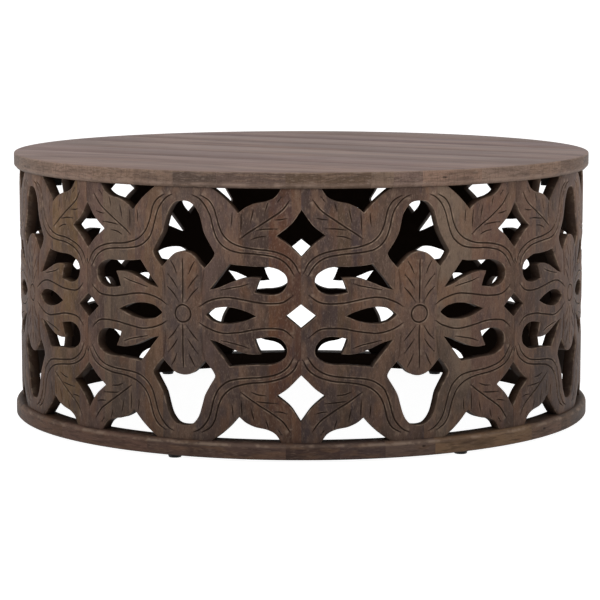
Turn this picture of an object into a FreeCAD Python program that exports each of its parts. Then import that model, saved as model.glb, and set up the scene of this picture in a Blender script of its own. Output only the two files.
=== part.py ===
import FreeCAD, Part
import math
import os

# Round drum coffee table in carved wood: a plank top on a pierced drum wall and a base ring.
# Millimetres, +Z up. The origin is on the floor, at the centre of the circle of feet.
# The front faces -Y, and angles are in degrees from the front, turning towards +X.

# Heights of the stack, from the floor up
foot_height = 6.0
ring_height = 24.0
wall_height = 368.5
top_thickness = 24.0

# Drum wall: four carved quarter panels, seamed where two flowers meet
wall_outer_radius = 449.0
wall_thickness = 18.0
panel_count = 4
repeats_per_panel = 2

# Top: boards glued edge to edge, with a rounded upper edge and a bevelled lower one
top_overhang = 8.0
top_edge_round = 3.0
top_bevel_width = 4.5
top_bevel_height = 8.0
plank_angle = -30.0
plank_edge_shares = (-1.0, -0.73, -0.485, -0.245, 0.01, 0.25, 0.49, 0.73, 1.0)

# Base ring: eight butted segments, whose joints are staggered against the wall's seams
ring_outer_lip = 9.0
ring_inner_lip = 8.5
ring_edge_round = 5.0
ring_foot_chamfer = 2.0
ring_segment_count = 8
ring_joint_angle = 14.4

# Corner blocks under the top, hidden behind the crowns over the flowers
block_width = 60.0
block_height = 18.0
block_depth = 22.0

# Countersunk wood screws: each block has one up into the top and one out into the wall,
# and each segment of the ring has two up into the wall
screw_radius = 2.0
screw_head_radius = 4.0
screw_head_height = 2.2
top_screw_cover = 8.0
top_screw_inset = 10.0
wall_screw_cover = 6.0
block_screw_offset = 15.0
base_screw_grip = 18.0
base_screw_offset = 20.0

# Dowels across the wall's seams and the ring's joints
seam_dowel_radius = 4.0
seam_dowel_length = 28.0
seam_dowel_height_shares = (-0.28, 0.28)
ring_dowel_radius = 4.0
ring_dowel_length = 40.0
wood_over_nail = 2.0

# Glide feet: tapered pads, each moulded on a nail that is driven into the ring
foot_inset = 20.0
foot_angles = (-25.0, 32.5, 90.0, 147.5, 212.5, 270.0)
foot_top_radius = 11.0
foot_bottom_radius = 9.5
foot_floor = 2.5
nail_radius = 1.4
nail_grip = 11.0

# Fits, the overrun of every cut, and how far arcs may leave a drawn curve
screw_clearance = 0.1
dowel_clearance = 0.1
nail_clearance = 0.1
blind_end_gap = 0.5
cut_overrun = 3.0
curve_tolerance = 0.3

# Outlines of the pierced holes, as (across, up) shares of a quarter of one repeat.
# Across runs from the axis where two flowers meet (0) to the axis of a flower (1).
# Up runs from the wall's mid height (0) to its edge (1), and the lower half mirrors it.
# A list of two points is a straight line, and a longer one is one smooth curve.
centre_diamond_shares = (
    ((0.0, 0.096), (0.125, 0.0)),
    ((0.125, 0.0), (0.0, -0.096)),
    ((0.0, -0.096), (-0.125, 0.0)),
    ((-0.125, 0.0), (0.0, 0.096)),
)
upper_diamond_shares = (
    ((0.0, 0.834), (0.085, 0.722), (0.201, 0.631)),
    ((0.201, 0.631), (0.106, 0.566), (0.0, 0.467)),
    ((0.0, 0.467), (-0.106, 0.566), (-0.201, 0.631)),
    ((-0.201, 0.631), (-0.085, 0.722), (0.0, 0.834)),
)
edge_hole_shares = (
    ((0.165, 1.0), (0.213, 0.936), (0.284, 0.901), (0.383, 0.881), (0.461, 0.848), (0.518, 0.805)),
    ((0.518, 0.805), (0.589, 0.878), (0.66, 0.939), (0.745, 1.0)),
)
vase_side_shares = (
    (1.0, 0.891), (0.936, 0.881), (0.891, 0.844), (0.858, 0.79), (0.837, 0.722), (0.814, 0.645),
    (0.773, 0.573), (0.729, 0.505), (0.72, 0.478), (0.749, 0.43), (0.809, 0.368),
)
vase_petal_shares = ((0.809, 0.368), (0.858, 0.419), (0.901, 0.46), (0.943, 0.483), (1.0, 0.493))
comma_hole_shares = (
    ((0.766, 0.197), (0.593, 0.407)),
    (
        (0.593, 0.407), (0.504, 0.395), (0.376, 0.387), (0.279, 0.387), (0.199, 0.37), (0.135, 0.331),
        (0.113, 0.284), (0.122, 0.232), (0.16, 0.189), (0.224, 0.166), (0.298, 0.168), (0.386, 0.183),
    ),
    ((0.386, 0.183), (0.362, 0.247), (0.333, 0.301)),
    ((0.333, 0.301), (0.418, 0.304), (0.504, 0.289), (0.599, 0.254), (0.691, 0.216), (0.766, 0.197)),
)
eye_half_shares = (
    (0.37, 0.0), (0.461, 0.038), (0.56, 0.061), (0.638, 0.066), (0.723, 0.052), (0.78, 0.02), (0.8, 0.0),
)

# Places worked out from the sizes above
ring_bottom = foot_height
wall_bottom = ring_bottom + ring_height
wall_top = wall_bottom + wall_height
table_top = wall_top + top_thickness
wall_middle = (wall_bottom + wall_top) / 2
wall_inner_radius = wall_outer_radius - wall_thickness
wall_mid_radius = wall_outer_radius - wall_thickness / 2
top_radius = wall_outer_radius + top_overhang
ring_outer_radius = wall_outer_radius + ring_outer_lip
ring_inner_radius = wall_inner_radius - ring_inner_lip
ring_mid_radius = (ring_outer_radius + ring_inner_radius) / 2
foot_circle_radius = ring_outer_radius - foot_inset
panel_angle = 360 / panel_count
repeat_angle = panel_angle / repeats_per_panel
half_repeat_angle = repeat_angle / 2
segment_angle = 360 / ring_segment_count
block_bottom = wall_top - block_height
block_inner_radius = wall_inner_radius - block_depth

origin = FreeCAD.Vector(0, 0, 0)
up = FreeCAD.Vector(0, 0, 1)
outwards = FreeCAD.Vector(0, -1, 0)
sideways = FreeCAD.Vector(1, 0, 0)


def turned_about_z(shape, angle):
    """Return a copy of the shape, turned about the table's axis."""
    copy = shape.copy()
    copy.rotate(origin, up, angle)
    return copy


def revolved(profile, angle=360.0):
    """Revolve a closed profile of (radius, height) points about the Z axis."""
    points = [FreeCAD.Vector(radius, 0, height) for radius, height in profile]
    points.append(points[0])
    return Part.Face(Part.makePolygon(points)).revolve(origin, up, angle)


def cut_where_met(shape, tools):
    """Cut from a shape those tools that reach its bounding box."""
    near = [tool for tool in tools if tool.BoundBox.intersect(shape.BoundBox)]
    return shape.cut(near) if near else shape


def single_solid(shape):
    """Return the one solid of a cut or common shape."""
    if len(shape.Solids) != 1:
        raise ValueError("a piece fell apart into %d solids" % len(shape.Solids))
    return shape.Solids[0]


# Pierced pattern of the drum wall


def mirrored_across(points, axis_share):
    """Continue a list of points over an upright axis, as its mirror image in reverse."""
    mirrored = [(2 * axis_share - across, height) for across, height in reversed(points)]
    return tuple(points) + tuple(mirrored[1:])


def edge_hole_outline():
    """Close the hole that is open to the wall's edge, just past that edge."""
    past_edge = 1 + cut_overrun / (wall_height / 2)
    left = edge_hole_shares[0][0]
    right = edge_hole_shares[-1][-1]
    left_up = (left[0], past_edge)
    right_up = (right[0], past_edge)
    return ((left_up, left),) + edge_hole_shares + ((right, right_up), (right_up, left_up))


def vase_hole_outline():
    """Join the vase's side over its crown, and close it with the petal that stands in it."""
    crown_axis = vase_side_shares[0][0]
    side = mirrored_across(tuple(reversed(vase_side_shares)), crown_axis)
    petal = mirrored_across(vase_petal_shares, crown_axis)
    return (side, tuple(reversed(petal)))


def eye_hole_outline():
    """Mirror the eye's upper lid below the wall's middle."""
    lower_lid = tuple((across, -height) for across, height in reversed(eye_half_shares))
    return (eye_half_shares, lower_lid)


def outline_wire(outline, centre_share, flip_across, flip_up):
    """Lay an outline on the plane that touches the wall in front of the hole's centre."""
    edges = []
    for stretch in outline:
        points = []
        for across, height in stretch:
            turn = math.radians((across - centre_share) * half_repeat_angle * flip_across)
            x = wall_outer_radius * math.sin(turn)
            z = wall_middle + height * flip_up * wall_height / 2
            points.append(FreeCAD.Vector(x, -wall_outer_radius - cut_overrun, z))
        if len(points) == 2:
            edges.append(Part.LineSegment(points[0], points[1]).toShape())
        else:
            curve = Part.BSplineCurve()
            curve.interpolate(Points=points)
            edges.extend(arc.toShape() for arc in curve.toBiArcs(curve_tolerance))
    return Part.Wire(edges)


def hole_tool(outline, axis_angle, flip_across=1, flip_up=1):
    """Make the prism of one hole, driven straight through the wall towards the table's axis."""
    shares = [across for stretch in outline for across, height in stretch]
    centre_share = (min(shares) + max(shares)) / 2
    face = Part.Face(outline_wire(outline, centre_share, flip_across, flip_up))
    prism = face.extrude(outwards * -(wall_thickness + 2 * cut_overrun))
    return turned_about_z(prism, axis_angle + centre_share * half_repeat_angle * flip_across)


def pattern_tools():
    """Make the prisms of every hole that reaches the front panel, its two seams included."""
    tools = []
    repeats = range(-(repeats_per_panel // 2), repeats_per_panel // 2 + 1)
    for index in repeats:
        meeting_angle = index * repeat_angle
        tools.append(hole_tool(centre_diamond_shares, meeting_angle))
        for flip_up in (1, -1):
            tools.append(hole_tool(upper_diamond_shares, meeting_angle, 1, flip_up))
        for flip_across in (-1, 1):
            if abs(meeting_angle + flip_across * half_repeat_angle) > panel_angle / 2:
                continue
            tools.append(hole_tool(eye_hole_outline(), meeting_angle, flip_across))
            for flip_up in (1, -1):
                tools.append(hole_tool(edge_hole_outline(), meeting_angle, flip_across, flip_up))
                tools.append(hole_tool(comma_hole_shares, meeting_angle, flip_across, flip_up))
    for index in repeats[:-1]:
        meeting_angle = index * repeat_angle
        for flip_up in (1, -1):
            tools.append(hole_tool(vase_hole_outline(), meeting_angle, 1, flip_up))
    return tools


# Fasteners, each drawn along +Z from its head, whose face is at height zero


def screw(length):
    """Turn one countersunk wood screw."""
    return revolved((
        (0, 0),
        (screw_head_radius, 0),
        (screw_radius, screw_head_height),
        (screw_radius, length),
        (0, length),
    ))


def screw_hole(length):
    """Make the hole for a screw: its countersink and its pilot."""
    pilot_radius = screw_radius + screw_clearance
    head_slope = screw_head_height / (screw_head_radius - screw_radius)
    return revolved((
        (0, -cut_overrun),
        (screw_head_radius, -cut_overrun),
        (screw_head_radius, 0),
        (pilot_radius, (screw_head_radius - pilot_radius) * head_slope),
        (pilot_radius, length + blind_end_gap),
        (0, length + blind_end_gap),
    ))


def dowel(radius, length, centre):
    """Make a dowel that lies along the wall, centred on a point at the front."""
    return Part.makeCylinder(radius, length, centre - sideways * (length / 2), sideways)


def placed(shape, start, direction, angle):
    """Point a fastener drawn along +Z another way, move it to its start and turn it round the table."""
    copy = shape.copy()
    copy.Placement = FreeCAD.Placement(start, FreeCAD.Rotation(up, direction))
    return turned_about_z(copy, angle)


def at_every_base_screw(shape):
    """Copy a base screw or its hole, one each side of every axis where two flowers meet."""
    offset = math.degrees(base_screw_offset / wall_mid_radius)
    start = outwards * wall_mid_radius + up * ring_bottom
    angles = [index * repeat_angle + side * offset
              for index in range(panel_count * repeats_per_panel) for side in (-1, 1)]
    return [placed(shape, start, up, angle) for angle in angles]


def block_angles():
    """Return the angle of each corner block, at the middle of each flower."""
    return [(index + 0.5) * repeat_angle for index in range(panel_count * repeats_per_panel)]


def at_every_top_screw(shape):
    """Copy a top screw or its hole, one up through each block."""
    start = outwards * (block_inner_radius + top_screw_inset) + up * block_bottom
    start = start + sideways * block_screw_offset
    return [placed(shape, start, up, angle) for angle in block_angles()]


def at_every_wall_screw(shape):
    """Copy a wall screw or its hole, one outwards through each block."""
    start = outwards * block_inner_radius + up * (block_bottom + block_height / 2)
    start = start - sideways * block_screw_offset
    return [placed(shape, start, outwards, angle) for angle in block_angles()]


def at_every_seam_dowel(shape):
    """Copy a seam dowel or its hole, centred on the table's middle, to each seam and height."""
    copies = []
    for index in range(panel_count):
        for share in seam_dowel_height_shares:
            start = outwards * wall_mid_radius + up * (wall_middle + share * wall_height / 2)
            copy = shape.copy()
            copy.translate(start)
            copies.append(turned_about_z(copy, (index + 0.5) * panel_angle))
    return copies


def at_every_ring_joint(shape):
    """Copy a ring dowel or its hole, centred on the table's middle, to each joint of the ring."""
    height = ring_bottom + nail_grip + wood_over_nail + ring_dowel_radius
    copy = shape.copy()
    copy.translate(outwards * ring_mid_radius + up * height)
    return [turned_about_z(copy, ring_joint_angle + index * segment_angle)
            for index in range(ring_segment_count)]


def at_every_foot(shape):
    """Copy a foot pad, its nail or the nail's hole to each place on the circle of feet."""
    copy = shape.copy()
    copy.translate(outwards * foot_circle_radius)
    return [turned_about_z(copy, angle) for angle in foot_angles]


# Sub-parts


def carved_panels(screw_holes, dowel_holes):
    """Cut the pattern from the front quarter of the wall, and turn copies of it round the drum."""
    outer = Part.makeCylinder(wall_outer_radius, wall_height, up * wall_bottom, up, panel_angle)
    inner = Part.makeCylinder(wall_inner_radius, wall_height, up * wall_bottom, up, panel_angle)
    blank = turned_about_z(outer.cut(inner), -90 - panel_angle / 2)
    panel = single_solid(blank.cut(pattern_tools()))
    panel = single_solid(cut_where_met(panel, screw_holes + dowel_holes))
    return [turned_about_z(panel, index * panel_angle) for index in range(panel_count)]


def top_disc():
    """Revolve the whole top, with its rounded upper edge and bevelled lower edge."""
    edge_slope = math.sin(math.radians(45))
    bevel_start = FreeCAD.Vector(top_radius - top_bevel_width, 0, wall_top)
    bevel_end = FreeCAD.Vector(top_radius, 0, wall_top + top_bevel_height)
    round_start = FreeCAD.Vector(top_radius, 0, table_top - top_edge_round)
    round_middle = FreeCAD.Vector(
        top_radius - top_edge_round * (1 - edge_slope), 0, table_top - top_edge_round * (1 - edge_slope))
    round_end = FreeCAD.Vector(top_radius - top_edge_round, 0, table_top)
    edges = [
        Part.LineSegment(up * wall_top, bevel_start).toShape(),
        Part.LineSegment(bevel_start, bevel_end).toShape(),
        Part.LineSegment(bevel_end, round_start).toShape(),
        Part.Arc(round_start, round_middle, round_end).toShape(),
        Part.LineSegment(round_end, up * table_top).toShape(),
        Part.LineSegment(up * table_top, up * wall_top).toShape(),
    ]
    return Part.Face(Part.Wire(edges)).revolve(origin, up, 360)


def top_planks(screw_holes):
    """Saw the top into its boards, which run from the back left to the front right."""
    disc = top_disc()
    planks = []
    for low_share, high_share in zip(plank_edge_shares[:-1], plank_edge_shares[1:]):
        low = low_share * top_radius
        width = (high_share - low_share) * top_radius
        corner = FreeCAD.Vector(-top_radius, low, wall_top)
        strip = Part.makeBox(2 * top_radius, width, top_thickness, corner)
        plank = disc.common(turned_about_z(strip, plank_angle))
        planks.append(single_solid(cut_where_met(plank, screw_holes)))
    return planks


def base_segments(screw_holes, dowel_holes, nail_holes):
    """Revolve each segment of the ring, rounded above and chamfered below on its outside."""
    edge_slope = math.sin(math.radians(45))
    round_start = FreeCAD.Vector(ring_outer_radius, 0, wall_bottom - ring_edge_round)
    round_middle = FreeCAD.Vector(
        ring_outer_radius - ring_edge_round * (1 - edge_slope), 0,
        wall_bottom - ring_edge_round * (1 - edge_slope))
    round_end = FreeCAD.Vector(ring_outer_radius - ring_edge_round, 0, wall_bottom)
    corners = [
        round_end,
        FreeCAD.Vector(ring_inner_radius, 0, wall_bottom),
        FreeCAD.Vector(ring_inner_radius, 0, ring_bottom),
        FreeCAD.Vector(ring_outer_radius - ring_foot_chamfer, 0, ring_bottom),
        FreeCAD.Vector(ring_outer_radius, 0, ring_bottom + ring_foot_chamfer),
        round_start,
    ]
    edges = [Part.LineSegment(start, end).toShape() for start, end in zip(corners[:-1], corners[1:])]
    edges.append(Part.Arc(round_start, round_middle, round_end).toShape())
    section = Part.Face(Part.Wire(edges))
    segments = []
    for index in range(ring_segment_count):
        segment = section.revolve(origin, up, segment_angle)
        segment = turned_about_z(segment, ring_joint_angle - 90 + (index - 1) * segment_angle)
        segments.append(single_solid(cut_where_met(segment, screw_holes + dowel_holes + nail_holes)))
    return segments


def corner_blocks(screw_holes):
    """Make the blocks whose curved backs seat on the inside of the wall."""
    corner = FreeCAD.Vector(-block_width / 2, -wall_inner_radius, block_bottom)
    box = Part.makeBox(block_width, block_depth, block_height, corner)
    inside = Part.makeCylinder(wall_inner_radius, block_height, up * block_bottom)
    block = box.common(inside)
    turned = [turned_about_z(block, angle) for angle in block_angles()]
    return [single_solid(cut_where_met(copy, screw_holes)) for copy in turned]


def foot_pad():
    """Turn one tapered pad, with the blind hole that its nail fills."""
    return revolved((
        (0, 0),
        (foot_bottom_radius, 0),
        (foot_top_radius, foot_height),
        (nail_radius, foot_height),
        (nail_radius, foot_floor),
        (0, foot_floor),
    ))


def foot_nail():
    """Make the nail that holds one pad to the ring."""
    return Part.makeCylinder(nail_radius, ring_bottom + nail_grip - foot_floor, up * foot_floor)


def foot_nail_hole():
    """Make the hole that one nail fills in the ring."""
    length = cut_overrun + nail_grip + blind_end_gap
    start = up * (ring_bottom - cut_overrun)
    return Part.makeCylinder(nail_radius + nail_clearance, length, start)


def write_node(name, shape):
    """Write one named piece, or one group of identical pieces, as a STEP file."""
    if not shape.isValid():
        raise ValueError("%s is not a valid shape" % name)
    shape.exportStep("parts/%s.step" % name)
    print("%-22s solids %2d  volume %10.0f" % (name, len(shape.Solids), shape.Volume))


def main():
    """Build every piece and write one file for each node."""
    os.makedirs("parts", exist_ok=True)
    top_screw_length = block_height + top_thickness - top_screw_cover
    wall_screw_length = block_depth + wall_thickness - wall_screw_cover
    base_screw_length = ring_height + base_screw_grip
    top_screw_holes = at_every_top_screw(screw_hole(top_screw_length))
    wall_screw_holes = at_every_wall_screw(screw_hole(wall_screw_length))
    base_screw_holes = at_every_base_screw(screw_hole(base_screw_length))
    seam_hole_length = seam_dowel_length + 2 * blind_end_gap
    seam_holes = at_every_seam_dowel(dowel(seam_dowel_radius + dowel_clearance, seam_hole_length, origin))
    ring_hole_length = ring_dowel_length + 2 * blind_end_gap
    ring_holes = at_every_ring_joint(dowel(ring_dowel_radius + dowel_clearance, ring_hole_length, origin))
    nail_holes = at_every_foot(foot_nail_hole())

    panels = carved_panels(wall_screw_holes + base_screw_holes, seam_holes)
    for side, panel in zip(("front", "right", "back", "left"), panels):
        write_node("carved_panel_%s" % side, panel)
    for number, plank in enumerate(top_planks(top_screw_holes), 1):
        write_node("top_plank_%d" % number, plank)
    for number, segment in enumerate(base_segments(base_screw_holes, ring_holes, nail_holes), 1):
        write_node("base_segment_%d" % number, segment)
    for number, block in enumerate(corner_blocks(top_screw_holes + wall_screw_holes), 1):
        write_node("corner_block_%d" % number, block)
    for number, pad in enumerate(at_every_foot(foot_pad()), 1):
        write_node("foot_pad_%d" % number, pad)
    write_node("foot_nails", Part.makeCompound(at_every_foot(foot_nail())))
    write_node("top_screws", Part.makeCompound(at_every_top_screw(screw(top_screw_length))))
    write_node("wall_screws", Part.makeCompound(at_every_wall_screw(screw(wall_screw_length))))
    write_node("base_screws", Part.makeCompound(at_every_base_screw(screw(base_screw_length))))
    seam_dowel = dowel(seam_dowel_radius, seam_dowel_length, origin)
    write_node("seam_dowels", Part.makeCompound(at_every_seam_dowel(seam_dowel)))
    ring_dowel = dowel(ring_dowel_radius, ring_dowel_length, origin)
    write_node("ring_dowels", Part.makeCompound(at_every_ring_joint(ring_dowel)))


main()
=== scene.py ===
"""Looks of a round drum coffee table: a plank top on a pierced, carved wall and a base ring.

Metres, +Z up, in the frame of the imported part. The front faces -Y, and angles are measured from
the front, turning towards +X, in radians unless a name says degrees.
"""

import logging
import math
from collections.abc import Iterable, Iterator, Sequence
from dataclasses import dataclass, replace
from enum import Enum

import bmesh
import bpy
import numpy as np
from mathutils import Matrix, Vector
from mathutils.geometry import delaunay_2d_cdt


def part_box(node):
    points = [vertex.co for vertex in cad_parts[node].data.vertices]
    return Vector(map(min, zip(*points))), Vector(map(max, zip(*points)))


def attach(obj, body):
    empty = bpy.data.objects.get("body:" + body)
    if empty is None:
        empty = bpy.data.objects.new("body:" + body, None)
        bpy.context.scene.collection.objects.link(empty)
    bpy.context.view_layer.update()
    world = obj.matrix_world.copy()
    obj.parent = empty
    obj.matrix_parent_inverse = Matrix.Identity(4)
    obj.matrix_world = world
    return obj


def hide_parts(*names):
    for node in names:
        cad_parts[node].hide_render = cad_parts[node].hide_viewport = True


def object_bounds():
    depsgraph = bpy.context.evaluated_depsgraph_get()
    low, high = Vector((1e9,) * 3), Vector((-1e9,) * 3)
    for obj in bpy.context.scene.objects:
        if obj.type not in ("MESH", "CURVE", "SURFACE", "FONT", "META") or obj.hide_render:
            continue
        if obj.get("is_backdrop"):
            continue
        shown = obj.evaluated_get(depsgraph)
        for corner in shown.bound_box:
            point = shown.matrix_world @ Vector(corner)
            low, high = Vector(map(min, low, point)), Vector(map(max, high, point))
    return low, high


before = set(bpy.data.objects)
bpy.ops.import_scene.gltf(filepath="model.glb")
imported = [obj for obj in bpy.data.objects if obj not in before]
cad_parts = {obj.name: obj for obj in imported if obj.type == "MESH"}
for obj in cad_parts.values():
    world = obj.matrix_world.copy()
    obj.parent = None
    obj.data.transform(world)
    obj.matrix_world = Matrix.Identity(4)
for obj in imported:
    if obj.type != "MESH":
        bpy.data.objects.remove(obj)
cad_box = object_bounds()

MM = 0.001
MICRON = MM * MM
LOG = logging.getLogger("drum_table")
Share = tuple[float, float]
Tones = tuple[tuple[float, str], ...]
Array = np.ndarray
Faces = list[tuple[int, ...]]
Attributes = dict[str, Array]
Piece = bpy.types.Object
Material = bpy.types.Material
Tree = bpy.types.NodeTree
Node = bpy.types.Node
Socket = bpy.types.NodeSocket


# Reading the frame


def node_points(name: str) -> Array:
    """Read the corners of a CAD node.

    Args:
        name: The node's name.

    Returns:
        One row of x, y and z for each corner, in metres.
    """
    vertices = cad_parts[name].data.vertices
    points = np.empty(len(vertices) * 3)
    vertices.foreach_get("co", points)
    return points.reshape(-1, 3)


def nodes_of(prefix: str) -> list[str]:
    """List the CAD nodes whose names start with a word, in the order of their numbers."""
    return sorted(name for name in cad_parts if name.startswith(prefix))


def reach_of(names: Iterable[str]) -> tuple[float, float, float, float]:
    """Measure a ring of CAD nodes round the table's axis.

    Args:
        names: The nodes that make up the ring.

    Returns:
        Its least radius, its greatest radius, its lowest height and its highest height.
    """
    points = np.concatenate([node_points(name) for name in names])
    radii = np.hypot(points[:, 0], points[:, 1])
    return radii.min(), radii.max(), points[:, 2].min(), points[:, 2].max()


# Meshes and node trees


def make_piece(
    name: str, points: Array, faces: Sequence[Sequence[int]], attributes: Attributes | None = None
) -> Piece:
    """Make a mesh object at the origin.

    Args:
        name: The piece's name.
        points: One row of x, y and z for each corner.
        faces: The corner numbers of each face, counterclockwise from outside.
        attributes: Values between 0 and 1 for each corner, by name.

    Returns:
        The new object, linked to the scene.
    """
    mesh = bpy.data.meshes.new(name)
    mesh.from_pydata([tuple(point) for point in points], [], [tuple(face) for face in faces])
    for key, values in (attributes or {}).items():
        mesh.attributes.new(key, "FLOAT", "POINT").data.foreach_set("value", np.asarray(values, np.float32))
    mesh.validate()
    piece = bpy.data.objects.new(name, mesh)
    bpy.context.scene.collection.objects.link(piece)
    return piece


def stack_piece(name: str, rings: Sequence[Array], attributes: Attributes | None = None) -> Piece:
    """Make a piece from closed rings of corners, each above the last, and close its ends.

    Args:
        name: The piece's name.
        rings: The rings, all counterclockwise from above and with as many corners.
        attributes: Values between 0 and 1 for each corner, by name.

    Returns:
        The new object, linked to the scene.
    """
    count = len(rings[0])
    faces = [tuple(range(count - 1, -1, -1))]
    for level in range(len(rings) - 1):
        low, high = level * count, (level + 1) * count
        for place in range(count):
            after = (place + 1) % count
            faces.append((low + place, low + after, high + after, high + place))
    faces.append(tuple(range((len(rings) - 1) * count, len(rings) * count)))
    return make_piece(name, np.vstack(rings), faces, attributes)


def turned_rings(turns: Array, rows: Sequence[tuple[float | Array, float]]) -> list[Array]:
    """Lay rings of corners round the upright axis.

    Args:
        turns: The angle of each corner of a ring.
        rows: The radius, of the whole ring or of each corner, and the height of each ring.

    Returns:
        The rings.
    """
    return [
        np.column_stack([np.cos(turns) * reach, np.sin(turns) * reach, np.full(len(turns), height)])
        for reach, height in rows]


def weld(piece: Piece, distance: float) -> None:
    """Merge doubled corners and drop the faces that this leaves with no area.

    Args:
        piece: The piece.
        distance: How near two corners are that become one.
    """
    work = bmesh.new()
    work.from_mesh(piece.data)
    bmesh.ops.remove_doubles(work, verts=work.verts, dist=distance)
    bmesh.ops.dissolve_degenerate(work, dist=distance / 10, edges=work.edges)
    work.to_mesh(piece.data)
    work.free()


def dress(piece: Piece, material: Material) -> None:
    """Give a piece one material all over.

    Args:
        piece: The piece.
        material: The material.
    """
    if not piece.material_slots:
        piece.data.materials.append(material)
    for holder in piece.material_slots:
        holder.material = material


def hand_over(piece: Piece, slot: str, node: str, crease_degrees: float) -> Piece:
    """Shade a finished piece and let it stand for its CAD node.

    Args:
        piece: The finished piece.
        slot: The name of its finish; not used.
        node: The CAD node that it stands for.
        crease_degrees: The sharpest fold that is shaded smooth.

    Returns:
        The same piece.
    """
    piece.data.polygons.foreach_set("use_smooth", [True] * len(piece.data.polygons))
    piece.data.set_sharp_from_angle(angle=math.radians(crease_degrees))
    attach(piece, "root")
    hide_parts(node)
    return piece


def add_node(
    tree: Tree, kind: str, inputs: dict[int | str, object] | None = None, **settings: object
) -> Node:
    """Add a node with its settings and links.

    Args:
        tree: The tree that gets the node.
        kind: The node's type name.
        inputs: For each input, by name or number, its value, or the socket or node that it is
            linked from. A node gives its first output.
        **settings: Other properties of the node.

    Returns:
        The new node.
    """
    node = tree.nodes.new(kind)
    for key, value in settings.items():
        setattr(node, key, value)
    for key, value in (inputs or {}).items():
        if isinstance(value, Node):
            value = value.outputs[0]
        if isinstance(value, Socket):
            tree.links.new(value, node.inputs[key])
        else:
            node.inputs[key].default_value = value
    return node


def emptied_tree(owner: Material | bpy.types.World) -> Tree:
    """Give a material or the world a node tree of its own.

    Args:
        owner: The material or the world.

    Returns:
        Its tree, with nothing in it.
    """
    owner.use_nodes = True
    owner.node_tree.nodes.clear()
    return owner.node_tree


def new_geometry_tree(name: str, inputs: dict[str, Sequence[str]]) -> tuple[Tree, dict[str, Socket]]:
    """Start a Geometry Nodes tree with a geometry input and output.

    Args:
        name: The tree's name.
        inputs: The names of its further inputs, by the kind of their sockets.

    Returns:
        The tree, and what each of its inputs gives, by name.
    """
    tree = bpy.data.node_groups.new(name, "GeometryNodeTree")
    for direction in ("OUTPUT", "INPUT"):
        tree.interface.new_socket("Geometry", in_out=direction, socket_type="NodeSocketGeometry")
    for kind, names in inputs.items():
        for key in names:
            tree.interface.new_socket(key, in_out="INPUT", socket_type=f"NodeSocket{kind}")
    return tree, dict(add_node(tree, "NodeGroupInput").outputs.items())


def end_geometry_tree(tree: Tree, given: dict[str, Socket], shape: Node) -> Tree:
    """Make the copies in a tree real, give them the material, and close the tree.

    Args:
        tree: The tree.
        given: What its inputs give, by name.
        shape: The node that gives the shape.

    Returns:
        The same tree.
    """
    real = add_node(tree, "GeometryNodeRealizeInstances", {0: shape})
    dressed = add_node(tree, "GeometryNodeSetMaterial", {"Geometry": real, "Material": given["Material"]})
    add_node(tree, "NodeGroupOutput", {0: dressed})
    return tree


def apply_tree(piece: Piece, tree: Tree, values: dict[str, object]) -> None:
    """Run a Geometry Nodes tree on a piece and keep its result as the piece's plain mesh.

    Args:
        piece: The object that the tree works on.
        tree: The Geometry Nodes tree.
        values: The value of each of its named inputs.
    """
    modifier = piece.modifiers.new(tree.name, "NODES")
    modifier.node_group = tree
    sockets = {item.name: item.identifier for item in tree.interface.items_tree if item.in_out == "INPUT"}
    for key, value in values.items():
        modifier[sockets[key]] = value
    evaluated = piece.evaluated_get(bpy.context.evaluated_depsgraph_get())
    result = bpy.data.meshes.new_from_object(evaluated)
    piece.modifiers.remove(modifier)
    old = piece.data
    piece.data = result
    bpy.data.meshes.remove(old)
    result.name = piece.name


# Finishes


def linear(colour: str) -> tuple[float, float, float, float]:
    """Turn an sRGB colour into the linear colour that a shader takes.

    Args:
        colour: The colour as hex digits.

    Returns:
        Its red, green, blue and alpha.
    """
    channels = [int(colour[place:place + 2], 16) / 255 for place in (1, 3, 5)]
    red, green, blue = (c / 12.92 if c <= 0.04045 else ((c + 0.055) / 1.055) ** 2.4 for c in channels)
    return red, green, blue, 1.0


class Grain(Enum):
    """Which way the grain of a wooden piece runs."""

    UP_THE_WALL = "up the wall"
    ALONG_THE_PLANKS = "along the planks"
    ROUND_THE_RING = "round the ring"


@dataclass(frozen=True)
class Figure:
    """One layer of grain, figure or stain: stretched noise that tints the wood under it.

    Attributes:
        size: Its size across, through and along the grain, in millimetres.
        levels: The noise levels at which the tint starts and is full.
        colour: The tint.
        strength: How much of the tint shows where it is full.
        detail: How many finer octaves the noise has.
    """

    size: tuple[float, float, float]
    levels: tuple[float, float]
    colour: str
    strength: float
    detail: float = 3.0


@dataclass(frozen=True)
class Knot:
    """One small knot or dark fleck in a piece that runs round the table.

    Attributes:
        degrees: Its angle from the front.
        height: Its height above the floor, in metres.
        length: How far it reaches along the grain.
        width: How far it reaches across the grain.
    """

    degrees: float
    height: float
    length: float = 7 * MM
    width: float = 3.5 * MM


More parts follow.
